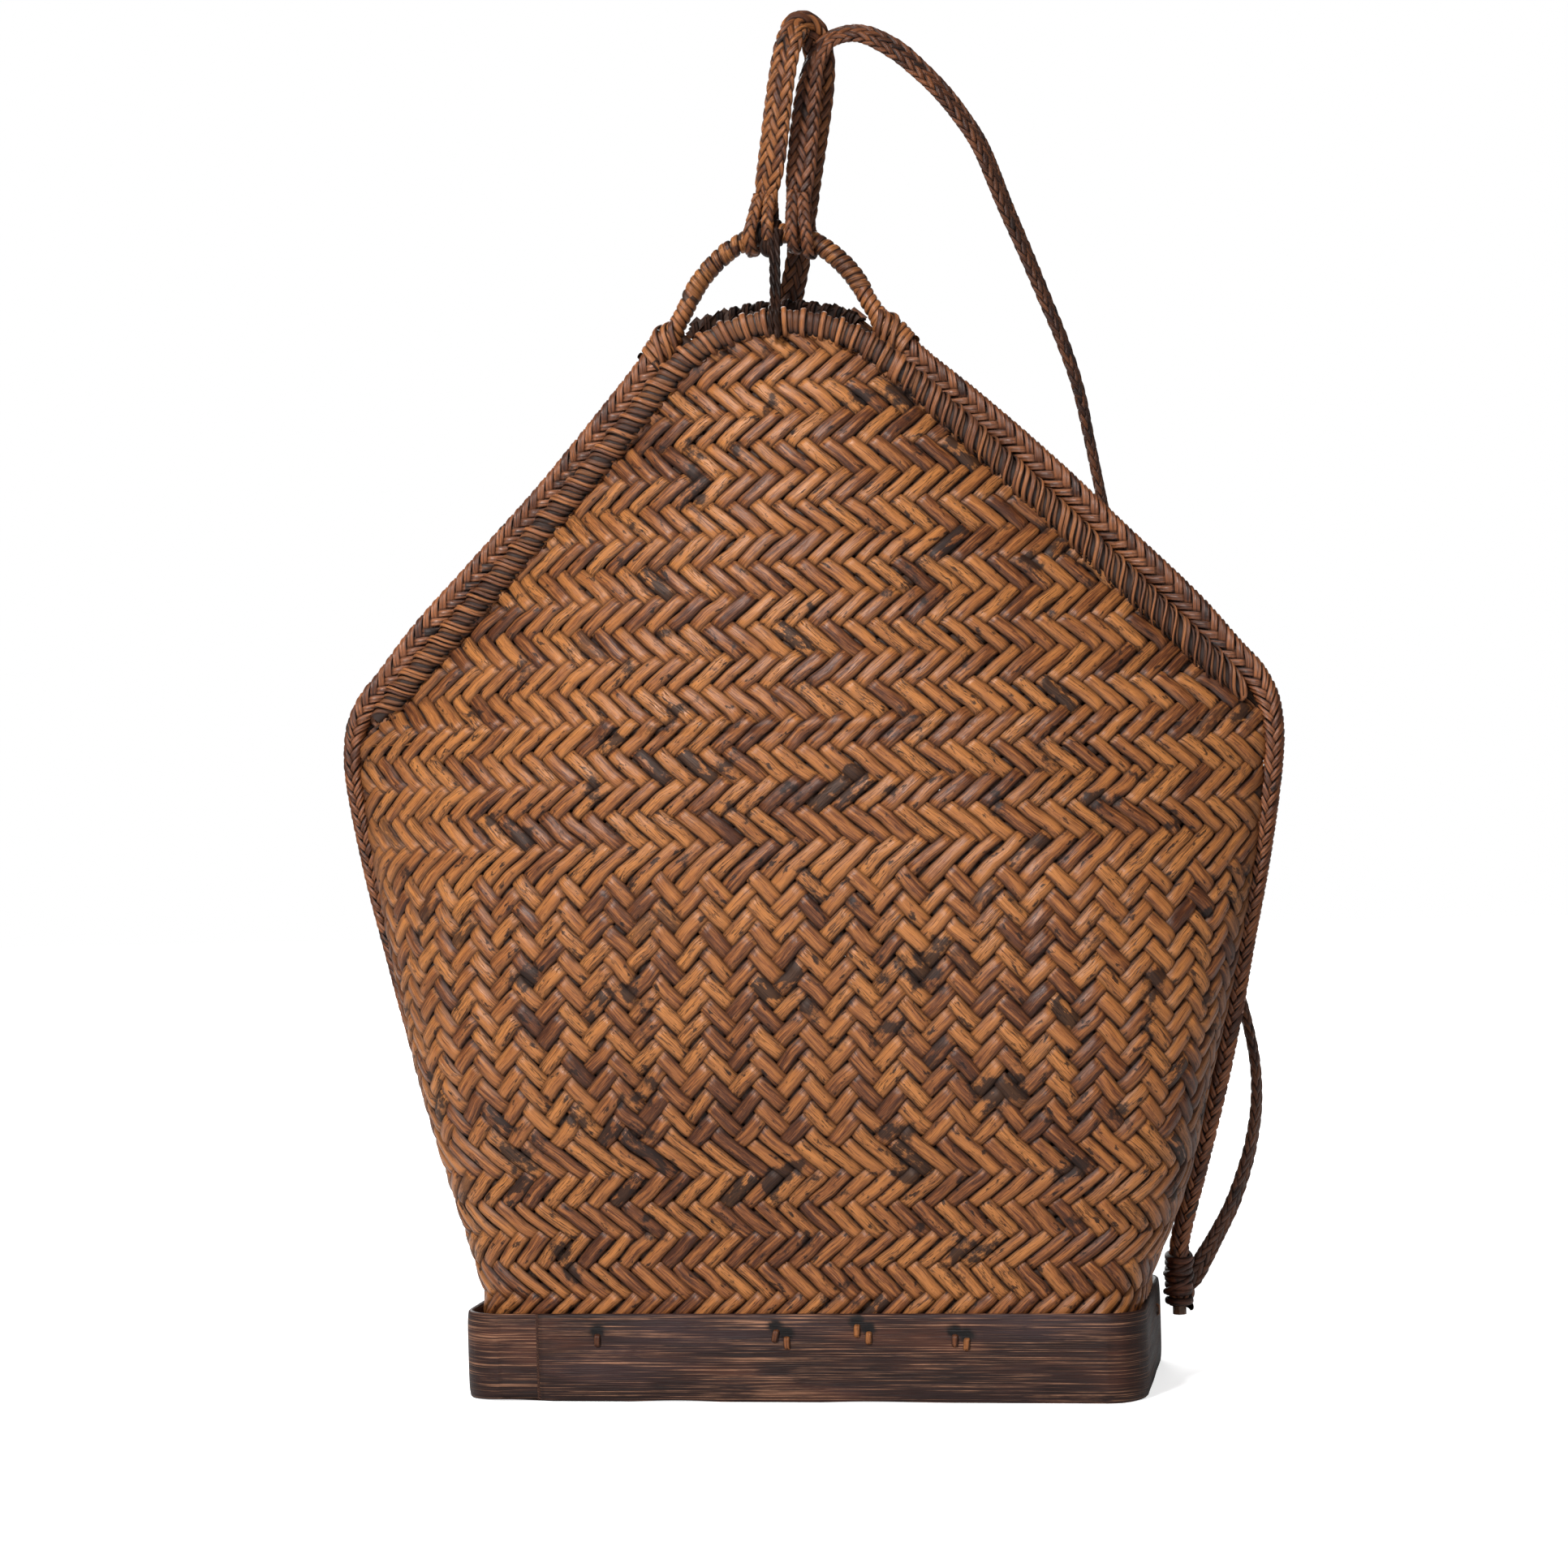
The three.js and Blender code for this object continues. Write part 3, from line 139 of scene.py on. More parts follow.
class Parts:
    """Surfaces that are gathered into one piece; each point has five marks for its material."""

    MARKS = ("along", "across", "strand", "spell", "painted_shade")

    def __init__(self):
        self.points = []
        self.quads = []
        self.marks = {name: [] for name in self.MARKS}
        self.count = 0

    def add(self, points, quads, marks, normals):
        """A surface whose quads are turned so that they face along the normals."""
        flat = points.reshape(-1, 3)
        if len(quads):
            a, b, c, d = (flat[quads[:, k]] for k in range(4))
            out = np.sum(np.cross(c - a, d - b) * normals.reshape(-1, 3)[quads[:, 0]], axis=1)
            quads = np.where(out[:, None] < 0, quads[:, ::-1], quads)
        self.points.append(flat)
        self.quads.append(quads + self.count)
        self.count += len(flat)
        for name in self.MARKS:
            values = np.broadcast_to(np.asarray(marks.get(name, 0.0), float), points.shape[:-1])
            self.marks[name].append(values.reshape(-1))

    def make(self, name, material, body, slot, *nodes):
        """One object of all the surfaces, with its place in the frame."""
        marks = {key: np.concatenate(values) for key, values in self.marks.items()}
        thing = add_mesh(name, np.concatenate(self.points), np.concatenate(self.quads), marks, material)
        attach(thing, body)
        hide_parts(*nodes)


# ---- shader nodes


def put(tree, kind, values=None, **facts):
    """New node; a value that is a socket is linked, any other is set."""
    node = tree.nodes.new(kind)
    for key, value in facts.items():
        setattr(node, key, value)
    for key, value in (values or {}).items():
        if isinstance(value, bpy.types.NodeSocket):
            tree.links.new(value, node.inputs[key])
        else:
            node.inputs[key].default_value = value
    return node


def maths(tree, operation, a, b=0.0, c=0.0, clamp=False):
    return put(tree, "ShaderNodeMath", {0: a, 1: b, 2: c}, operation=operation, use_clamp=clamp).outputs[0]


def times(tree, a, b):
    return maths(tree, "MULTIPLY", a, b)


def ramped(tree, value, gain, shift):
    """value * gain + shift, kept between 0 and 1."""
    return maths(tree, "MULTIPLY_ADD", value, gain, shift, clamp=True)


def centred(tree, value, gain):
    """How far a noise value lies from its middle, times gain."""
    return times(tree, maths(tree, "SUBTRACT", value, 0.5), gain)


def mark(tree, name):
    return put(tree, "ShaderNodeAttribute", attribute_name=name).outputs["Fac"]


def stretched_noise(tree, places, detail, rough):
    """Noise at a point that three values give."""
    at = put(tree, "ShaderNodeCombineXYZ", dict(enumerate(places))).outputs[0]
    facts = {"Vector": at, "Scale": 1.0, "Detail": detail, "Roughness": rough}
    return put(tree, "ShaderNodeTexNoise", facts).outputs[0]


def paint(tree, base, colour, factor, share=1.0):
    """The colour laid over the base as far as the factor tells."""
    if share != 1.0:
        factor = times(tree, factor, share)
    node = put(tree, "ShaderNodeMix", data_type="RGBA")
    sockets = {socket.identifier: socket for socket in node.inputs}
    for key, value in (("Factor_Float", factor), ("A_Color", base), ("B_Color", colour)):
        if isinstance(value, bpy.types.NodeSocket):
            tree.links.new(value, sockets[key])
        else:
            sockets[key].default_value = value
    return next(s for s in node.outputs if s.identifier == "Result_Color")


def ramp(tree, factor, stops):
    node = put(tree, "ShaderNodeValToRGB", {"Fac": factor})
    band = node.color_ramp
    while len(band.elements) < len(stops):
        band.elements.new(0.5)
    for element, (at, colour) in zip(band.elements, stops):
        element.position = at
        element.color = colour
    return node.outputs["Color"]


def tone(r, g, b):
    """Linear colour from a plain screen colour of 0 to 255."""
    def straight(v):
        v /= 255.0
        return v / 12.92 if v <= 0.04045 else ((v + 0.055) / 1.055) ** 2.4
    return (straight(r), straight(g), straight(b), 1.0)


def new_material(name):
    material = bpy.data.materials.new(name)
    material.use_nodes = True
    return material, material.node_tree, material.node_tree.nodes["Principled BSDF"]


def add_bump(tree, shader, height, strength, distance):
    bump = put(tree, "ShaderNodeBump", {"Height": height, "Strength": strength, "Distance": distance})
    tree.links.new(bump.outputs[0], shader.inputs["Normal"])


# ---- materials

# The fourth tone colours the real stains and also the painted shade
SKEIN_TONES = ("Light", "Middle", "Dark", "StainAndShade")
STRAND_SHIFT = {"grain": 311.0, "fibre": 517.0, "hair": 743.0, "patch": 97.0, "crack": 881.0}


def skein_group():
    """Rattan skein: colour, roughness and height from its length, width and two random marks."""
    tree = bpy.data.node_groups.new("rattan_skein", "ShaderNodeTree")
    for name in SKEIN_TONES:
        tree.interface.new_socket(name, in_out="INPUT", socket_type="NodeSocketColor")
    tree.interface.new_socket("Blotches", in_out="INPUT", socket_type="NodeSocketFloat")
    for name, kind in (("Color", "NodeSocketColor"), ("Roughness", "NodeSocketFloat"),
                       ("Height", "NodeSocketFloat")):
        tree.interface.new_socket(name, in_out="OUTPUT", socket_type=kind)
    start = tree.nodes.new("NodeGroupInput")
    end = tree.nodes.new("NodeGroupOutput")
    along, across, strand, spell, painted_shade = (mark(tree, name) for name in Parts.MARKS)
    light, middle, dark, stain_and_shade_tone = (start.outputs[name] for name in SKEIN_TONES)

    def streaks(name, lengthwise, crosswise, detail, rough=0.6):
        """Noise drawn out along the skein, and another one on each strand."""
        places = (times(tree, along, lengthwise), times(tree, across, crosswise),
                  times(tree, strand, STRAND_SHIFT[name]))
        return stretched_noise(tree, places, detail, rough)

    grain = streaks("grain", 58.0, 2.6, 5.0, 0.68)
    fibre = streaks("fibre", 95.0, 6.5, 3.0)
    hair = streaks("hair", 240.0, 26.0, 2.0)
    patch = streaks("patch", 150.0, 1.1, 5.0)
    crack = streaks("crack", 60.0, 2.2, 2.0)
    room = put(tree, "ShaderNodeTexCoord").outputs["Object"]
    soak = put(tree, "ShaderNodeTexNoise", {"Vector": room, "Scale": 46.0, "Detail": 6.0, "Roughness": 0.62})
    cloud = put(tree, "ShaderNodeTexNoise", {"Vector": room, "Scale": 11.0, "Detail": 3.0})

    # Ground colour: by strand, spell, grain and place in the basket
    tint = maths(tree, "MULTIPLY_ADD", spell, 0.66, times(tree, strand, 0.22))
    tint = maths(tree, "ADD", tint, centred(tree, grain, 2.0))
    tint = maths(tree, "ADD", tint, centred(tree, cloud.outputs[0], 0.45))
    base = paint(tree, middle, light, ramped(tree, tint, 1.7, -0.3))
    base = paint(tree, base, dark, ramped(tree, tint, -2.6, 0.84))

    # Dark and pale lines along the skein, and cracks in some spells
    base = paint(tree, base, dark, ramped(tree, fibre, 9.0, -4.75), 0.7)
    base = paint(tree, base, stain_and_shade_tone, ramped(tree, hair, 6.0, -3.3), 0.45)
    base = paint(tree, base, light, ramped(tree, hair, -7.0, 2.8), 0.45)
    split = maths(tree, "ABSOLUTE", maths(tree, "SUBTRACT", crack, 0.5))
    split = times(tree, ramped(tree, split, -40.0, 1.0), maths(tree, "GREATER_THAN", spell, 0.72))
    base = paint(tree, base, stain_and_shade_tone, split, 0.85)

    # Stains: on the strand, soaked through several strands, and spells that are burnt nearly black
    limit = maths(tree, "MULTIPLY_ADD", start.outputs["Blotches"], -0.16, 0.74)
    stain = maths(tree, "MULTIPLY", maths(tree, "SUBTRACT", patch, limit), 16.0, clamp=True)
    soaked = maths(tree, "MULTIPLY", maths(tree, "SUBTRACT", soak.outputs[0], limit), 22.0, clamp=True)
    chance = maths(tree, "FRACT", times(tree, spell, 37.7))
    burnt = times(tree, ramped(tree, chance, 60.0, -57.2), ramped(tree, patch, 12.0, -4.9))
    stain = maths(tree, "MAXIMUM", maths(tree, "MAXIMUM", stain, soaked), burnt)
    base = paint(tree, base, stain_and_shade_tone, stain, 0.88)

    # Painted shade in the stain tone: along each strand's edges and wherever the parts carry a shade mark,
    # such as gaps and strands that go under others
    edge = maths(tree, "POWER", maths(tree, "ABSOLUTE", across), 2.7)
    shade = maths(tree, "MAXIMUM", times(tree, edge, 0.9), times(tree, painted_shade, 0.92))
    base = paint(tree, base, stain_and_shade_tone, shade)

    height = maths(tree, "ADD", times(tree, grain, 0.5), fibre)
    height = maths(tree, "ADD", height, times(tree, hair, 0.5))
    height = maths(tree, "SUBTRACT", height, split)
    rough = maths(tree, "MULTIPLY_ADD", fibre, 0.36, 0.15)
    rough = maths(tree, "MULTIPLY_ADD", stain, 0.15, rough)
    rough = maths(tree, "MULTIPLY_ADD", shade, 0.3, rough)
    tree.links.new(base, end.inputs["Color"])
    tree.links.new(rough, end.inputs["Roughness"])
    tree.links.new(height, end.inputs["Height"])
    return tree


SKEIN = skein_group()


def skein_material(name, tones, blotches=0.5, gloss=0.3):
    """Rattan skein in four tones: light, middle, dark, and stain, which also colours the painted shade."""
    material, tree, shader = new_material(name)
    group = put(tree, "ShaderNodeGroup", node_tree=SKEIN)
    for key, value in zip(SKEIN_TONES, tones):
        group.inputs[key].default_value = tone(*value)
    group.inputs["Blotches"].default_value = blotches
    tree.links.new(group.outputs["Color"], shader.inputs["Base Color"])
    tree.links.new(group.outputs["Roughness"], shader.inputs["Roughness"])
    add_bump(tree, shader, group.outputs["Height"], 0.5, 0.0004)
    shader.inputs["Specular IOR Level"].default_value = gloss
    return material


PLAIT = skein_material("plait_skein", [(181, 116, 62), (132, 77, 42), (70, 36, 20), (21, 9, 6)], 0.88)
BRAID = skein_material("braid_skein", [(166, 102, 62), (110, 63, 40), (50, 27, 19), (17, 9, 7)], 0.6, 0.42)
WRAP = skein_material("wrap_skein", [(178, 112, 64), (122, 70, 41), (62, 33, 21), (18, 9, 7)], 0.6, 0.42)
ARCH_WRAP = skein_material("arch_skein", [(172, 110, 60), (84, 46, 29), (40, 22, 16), (18, 11, 9)], 0.7)
STRAP_LIGHT = skein_material("strap_skein_light", [(164, 102, 54), (112, 64, 36), (66, 35, 21), (24, 14, 11)])
# The strap skein made about a fifth darker: painted shade for the right strap and its hitch, on the side away
# from the key lamp
STRAP_SHADED = skein_material("strap_skein_shaded", [(138, 82, 47), (92, 52, 31), (53, 28, 19), (22, 13, 11)])
STRAP_DARK = skein_material("strap_skein_dark", [(104, 57, 35), (68, 37, 25), (39, 21, 16), (18, 11, 9)],
                            gloss=0.25)
CORD = skein_material("dark_cord", [(62, 38, 27), (34, 21, 16), (20, 12, 10), (10, 7, 6)], 0.4, 0.12)


def wood_material():
    """Dark bent strip with fine level fibres, some of them worn light."""
    material, tree, shader = new_material("band_wood")
    along, height, painted_shade = mark(tree, "along"), mark(tree, "across"), mark(tree, "painted_shade")

    def streaks(lengthwise, upward, detail, rough, seed):
        places = (times(tree, along, lengthwise), times(tree, height, upward), seed)
        return stretched_noise(tree, places, detail, rough)

    broad = streaks(14.0, 60.0, 3.0, 0.6, 0.0)
    fibre = streaks(16.0, 1900.0, 2.0, 0.55, 3.0)
    fine = streaks(45.0, 3300.0, 2.0, 0.6, 9.0)
    patch = streaks(34.0, 210.0, 4.0, 0.65, 5.0)
    sheen_painted = streaks(9.0, 45.0, 2.0, 0.5, 14.0)
    base = ramp(tree, broad, [(0.32, tone(30, 17, 15)), (0.5, tone(46, 27, 23)), (0.66, tone(74, 43, 32))])
    # Purple-grey patches: painted sheen
    base = paint(tree, base, tone(64, 46, 47), ramped(tree, sheen_painted, 4.0, -2.2))
    worn = times(tree, ramped(tree, fibre, 13.0, -6.9), ramped(tree, patch, 4.0, -1.5))
    base = paint(tree, base, tone(172, 124, 95), worn, 0.8)
    base = paint(tree, base, tone(19, 11, 10), ramped(tree, fine, 8.0, -4.0), 0.62)
    # Painted shade from the band's marks: lap's groove, stitch holes and right end
    base = paint(tree, base, tone(12, 7, 7), painted_shade)
    tree.links.new(base, shader.inputs["Base Color"])
    tree.links.new(maths(tree, "MULTIPLY_ADD", patch, 0.35, 0.32), shader.inputs["Roughness"])
    add_bump(tree, shader, maths(tree, "ADD", fibre, fine), 0.5, 0.0005)
    shader.inputs["Specular IOR Level"].default_value = 0.18
    return material


def rod_material():
    """Peeled cane with fine specks, for the rods inside the braids."""
    material, tree, shader = new_material("rod_cane")
    at = put(tree, "ShaderNodeTexCoord").outputs["Object"]
    grain = put(tree, "ShaderNodeTexNoise", {"Vector": at, "Scale": 420.0, "Detail": 4.0})
    colour = ramp(tree, grain.outputs[0], [(0.3, tone(44, 28, 20)), (0.7, tone(104, 66, 40))])
    tree.links.new(colour, shader.inputs["Base Color"])
    shader.inputs["Roughness"].default_value = 0.55
    return material


BAND = wood_material()
ROD = rod_material()

# ---- body surface

SLOPE = math.radians(45.6)
SHOULDER = 266.0
WALL_FOOT, BELLY_HEIGHT = 40.0, 140.0
FOOT_HALF, SHOULDER_HALF = 134.6, 187.0
FOOT_DEPTH, SHOULDER_DEPTH = 51.6, 3.6
LEAN_START, LEAN_SPAN = 370.0, 65.0
RIM_APEX, RIM_FILLET, RIM_FOOT, RIM_COVER = 461.8, 65.0, 277.0, 5.7
FRONT_APEX = RIM_APEX - RIM_COVER / math.cos(SLOPE)
FRONT_FILLET = RIM_FILLET - RIM_COVER
BACK_LEAN = -6.5
# Of each wall: its side, depth at the belly and at the top, sideways lean, and its peak's shape
WALLS = {
    "front": dict(side=-1, belly=61.0, setback=14.0, lean=-3.0, apex=FRONT_APEX, fillet=FRONT_FILLET,
                  top=FRONT_APEX + FRONT_FILLET * (1 - 1 / math.cos(SLOPE))),
    "back": dict(side=1, belly=43.0, setback=8.0, lean=BACK_LEAN, apex=466.2, fillet=80.0, top=441.2),
}


def lean_at(z, amount):
    return amount * smooth((z - LEAN_START) / LEAN_SPAN)


def half_width(z):
    t = np.clip((z - WALL_FOOT) / (SHOULDER - WALL_FOOT), 0, 1)
    return mix(FOOT_HALF, SHOULDER_HALF, 1 - (1 - t) ** 1.5)


def depth_at(z, wall):
    low = mix(FOOT_DEPTH, wall["belly"], smooth((z - WALL_FOOT) / (BELLY_HEIGHT - WALL_FOOT)))
    t = np.clip((z - BELLY_HEIGHT) / (wall["top"] - BELLY_HEIGHT), 0, 1)
    high = mix(wall["setback"], wall["belly"], np.cos(math.pi / 2 * t))
    return np.where(z < BELLY_HEIGHT, low, high)


def setback_at(z, wall):
    """Depth of a wall's edge above the shoulder."""
    return mix(SHOULDER_DEPTH, wall["setback"], (z - SHOULDER) / (wall["top"] - SHOULDER))


def peak_half(z, wall):
    """Half width of the sheet above the shoulder."""
    straight = (wall["apex"] - z) / math.tan(SLOPE)
    rise = np.minimum(z - wall["top"] + wall["fillet"], wall["fillet"])
    arc = np.sqrt(np.maximum(wall["fillet"] ** 2 - rise ** 2, 0))
    return np.where(rise < wall["fillet"] * math.cos(SLOPE), straight, np.minimum(straight, arc))


def edge_distance(x, z, wall):
    """Distance inside the peak's outline, negative outside."""
    x = x - lean_at(z, wall["lean"])
    line = (wall["apex"] - np.abs(x) * math.tan(SLOPE) - z) * math.cos(SLOPE)
    centre = wall["top"] - wall["fillet"]
    arc = wall["fillet"] - np.hypot(x, z - centre)
    high = z - centre > wall["fillet"] * math.cos(SLOPE)
    return np.where(high, np.minimum(line, arc), line)


UNITS = 82  # cells of the plait round the basket
QUARTER = UNITS / 4.0
CELLS = 4  # steps of the surface table to a cell
HALF_STEPS = int(QUARTER * CELLS)
WEAVE_INSET = 1.5
WEAVE_REACH = 2.6
RIGHT_BULGE, BULGE_HEIGHT, BULGE_SPREAD = 4.0, 78.0, 34.0
FOOT_SQUARE, SHOULDER_SQUARE, CORNER_SQUARE = 14.0, 2.2, 5.0
SHEET_REACH, SHEET_SPAN, SHEET_POWER = 215.0, 14.0, 2.2


def closed_row(z, wall):
    """Half ring of the tube at one height, from the middle outwards on both sides."""
    t = min(max(z / SHOULDER, 0), 1)
    along = FOOT_SQUARE ** (1 - t) * SHOULDER_SQUARE ** t
    across = CORNER_SQUARE ** (1 - t)
    c = np.cos(np.linspace(0, math.pi, 721))
    x = -(half_width(z) + WEAVE_REACH * smooth((z - 60.0) / 90.0)) * c
    bulge = RIGHT_BULGE * math.exp(-((z - BULGE_HEIGHT) / BULGE_SPREAD) ** 2)
    x = x + bulge * np.clip(-c, 0, 1) ** 2
    y = wall["side"] * (depth_at(z, wall) - WEAVE_INSET) * (1 - np.abs(c) ** along) ** (1 / across)
    return x, y


def sheet_row(z, wall):
    """Section of one wall's sheet at a height above the shoulder."""
    x = np.linspace(-SHEET_REACH, SHEET_REACH, 861)
    near = smooth((z - SHOULDER) / SHEET_SPAN)
    peak = np.maximum(peak_half(min(z, wall["top"] - 0.5), wall), 3.0)
    half = mix(half_width(SHOULDER) + WEAVE_REACH, peak, near)
    edge = setback_at(z, wall) * near
    centre = np.maximum(depth_at(z, wall), edge)
    c = np.clip(np.abs(x - lean_at(z, wall["lean"])) / half, 0, 1)
    y = wall["side"] * (mix(edge, centre, 1 - c ** SHEET_POWER) - WEAVE_INSET * near)
    return x, y


# Rows of the weave up the wall: tall cells in the middle zone, low ones above and below
LOW_ZONE, HIGH_ZONE = 105.0, 212.0
CELL_LOW, CELL_MIDDLE, CELL_HIGH = 8.2, 10.19, 8.27
MIDDLE_ROWS = (HIGH_ZONE - LOW_ZONE) / CELL_MIDDLE


def row_of(z):
    """Height in cells, 0 at the bottom of the middle zone."""
    return np.where(z < LOW_ZONE, (z - LOW_ZONE) / CELL_LOW,
                    np.where(z < HIGH_ZONE, (z - LOW_ZONE) / CELL_MIDDLE,
                             MIDDLE_ROWS + (z - HIGH_ZONE) / CELL_HIGH))


HEIGHTS = np.arange(0.0, 460.0, 2.0)
ROWS = row_of(HEIGHTS)
SHOULDER_ROW = float(row_of(SHOULDER))


def wall_grid(wall):
    """Surface points and normals of one wall at every height and quarter cell."""
    grid = np.zeros((len(HEIGHTS), 2 * HALF_STEPS + 1, 3))
    steps = np.arange(-HALF_STEPS, HALF_STEPS + 1) / CELLS
    x, y = closed_row(SHOULDER, wall)
    sheet_cell = np.sum(np.hypot(np.diff(x), np.diff(y))) / (2 * QUARTER)
    for i, z in enumerate(HEIGHTS):
        closed = z <= SHOULDER
        x, y = closed_row(z, wall) if closed else sheet_row(z, wall)
        length = running(np.hypot(np.diff(x), np.diff(y)))
        middle = length[-1] / 2 if closed else np.interp(0.0, x, length)
        at = middle + steps * (length[-1] / (2 * QUARTER) if closed else sheet_cell)
        grid[i, :, 0] = np.interp(at, length, x)
        grid[i, :, 1] = np.interp(at, length, y)
        grid[i, :, 2] = z
    if wall["side"] > 0:
        grid = grid[:, ::-1]
    return grid, unit(np.cross(np.gradient(grid, axis=1), np.gradient(grid, axis=0)))


GRIDS = {key: wall_grid(wall) for key, wall in WALLS.items()}


def look_up(table, row, column):
    """Values between the rows and columns of a table."""
    row = np.clip(row, 0, table.shape[0] - 1.001)
    column = np.clip(column, 0, table.shape[1] - 1.001)
    i = row.astype(int)
    j = column.astype(int)
    a = (row - i)[..., None]
    b = (column - j)[..., None]
    top = table[i, j] * (1 - b) + table[i, j + 1] * b
    low = table[i + 1, j] * (1 - b) + table[i + 1, j + 1] * b
    return top * (1 - a) + low * a


CLEAR = 99.0  # distance inside the edge where there is none


def body_surface(u, v, turn):
    """Points, outward normals, distance inside the edge and side; turn tells front 0 from back 1."""
    row = np.interp(v, ROWS, np.arange(len(ROWS)))
    high = v > SHOULDER_ROW
    front = np.where(high, turn == 0, np.mod(u + QUARTER, UNITS) < 2 * QUARTER)
    local = np.where(front, np.mod(u + UNITS / 2, UNITS) - UNITS / 2, np.mod(u, UNITS) - 2 * QUARTER)
    column = (local + QUARTER) * CELLS
    points, normals = (np.where(front[..., None], look_up(ahead, row, column), look_up(behind, row, column))
                       for ahead, behind in zip(GRIDS["front"], GRIDS["back"]))
    x, z = points[..., 0], points[..., 2]
    inside = np.where(front, edge_distance(x, z, WALLS["front"]), edge_distance(x, z, WALLS["back"]))
    inside = np.where(high, inside, CLEAR)
    inside = np.where(high & (np.abs(local) > QUARTER + 0.2), -CLEAR, inside)
    return points, unit(normals), inside, front


# ---- plaiting

# Samples of one crossing along a strand, and how far each goes over to the next crossing's height
FINE = (np.array([-0.5, -0.34, -0.12, 0.12, 0.34]), np.array([0.5, 0.19, 0.02, 0.02, 0.19]))
COARSE = (np.array([-0.5, -0.2, 0.2]), np.array([0.5, 0.06, 0.06]))
# Section of a strand: places across it, rise at each, and mark for its material; single or of two skeins
SINGLE = (np.array([-1.0, -0.76, 0.0, 0.76, 1.0]), np.array([-1.0, -0.26, 0.0, -0.26, -1.0]),
          np.array([-1.0, -0.76, 0.0, 0.76, 1.0]))
# Of two skeins, the middle mark of 0.9 paints shade in the groove between them
TWIN = (np.array([-1.0, -0.52, 0.0, 0.52, 1.0]), np.array([-1.0, 0.0, -0.75, 0.0, -1.0]),
        np.array([-1.0, 0.0, 0.9, 0.0, -1.0]))


def twill(group):
    """Rule of a plait in which each strand goes over and under as many others as the group has."""
    return lambda i, j: np.mod(i + j, 2 * group) < group


def neighbours(table):
    """Values one place before and one after along each row; the ends repeat."""
    return np.concatenate([table[:, :1], table[:, :-1]], 1), np.concatenate([table[:, 1:], table[:, -1:]], 1)


def plaited(over, strands, rows, lift, crown, width, wobble=0.03, detail=FINE, profile=SINGLE):
    """Running places of both sets of strands: for each set the lattice places, rise and marks.

    over(i, j) tells where the strands of the first set lie on top.
    """
    first, last = rows
    steps, spread = detail
    t, section, across = (part[None, None, :] for part in profile)
    k = np.arange(first, last + 1)
    ids = np.arange(strands)[:, None]
    run = np.append((k[:, None] + steps).reshape(-1), last + 0.5)[None, :, None]
    samples = run.size
    out = []
    for way in (1, -1):
        sign = np.where(over(ids, ids + k) if way > 0 else ~over(ids - k, ids), 1.0, -1.0)
        before, after = neighbours(sign)
        level = sign * (1 + 0.22 * ((before == sign) & (after == sign)))
        low, high = neighbours(level)
        near = np.where(steps < 0, low[:, :, None], high[:, :, None])
        heights = (level[:, :, None] * (1 - spread) + near * spread).reshape(strands, -1)
        heights = np.concatenate([heights, level[:, -1:]], 1)[:, :, None]
        change = np.cumsum(sign != before, axis=1)
        spells = np.take_along_axis(rng.random((strands, change.max() + 1)), change, 1)
        spells = np.concatenate([np.repeat(spells, len(steps), 1), spells[:, -1:]], 1)
        drift = rng.normal(0, wobble, (strands, samples // 6 + 2))
        at = np.linspace(0, drift.shape[1] - 1.001, samples)
        cell = at.astype(int)
        drift = drift[:, cell] * (1 - at + cell) + drift[:, cell + 1] * (at - cell)
        narrow = width * (1 - 0.2 * rng.random((strands, 1)) ** 3)
        side = narrow[:, :, None] * t * 0.5 + drift[:, :, None]
        u = (2 * ids[:, :, None] + way * run + side) / 2
        v = (run - way * side) / 2
        # Painted shade where a strand goes down under the others
        marks = {"strand": rng.random((strands, 1, 1)), "spell": spells[:, :, None], "across": across,
                 "run": run, "painted_shade": np.clip(0.5 - 0.8 * heights, 0, 1)}
        out.append((u, v, heights * lift + crown * section, marks))
    return out


BODY_ROWS = (-20, 76)
CELL_ALONG = 0.0067  # metres of skein to a cell, for the material
EDGE_OVERLAP, LONGEST_QUAD, PLAIT_BOTTOM = 4.0, 14.0, 26.0
FLOOR_CELL, FLOOR_COUNT, FLOOR_ROWS, FLOOR_HEIGHT = 9.6, 40, (-18, 18), 2.2
FLOOR_HALF, FLOOR_DEPTH = 133.5, 50.5


def body_over(i, j):
    """Which set lies on top: level herringbone low and high, upright 2/2 twill between them."""
    k = j - i
    middle = int(round(2 * MIDDLE_ROWS))
    low, high = (np.floor_divide(k - start, 3) % 2 == 0 for start in (0, middle))
    return np.where(k < 0, low, np.where(k < middle, twill(2)(i, j), high))


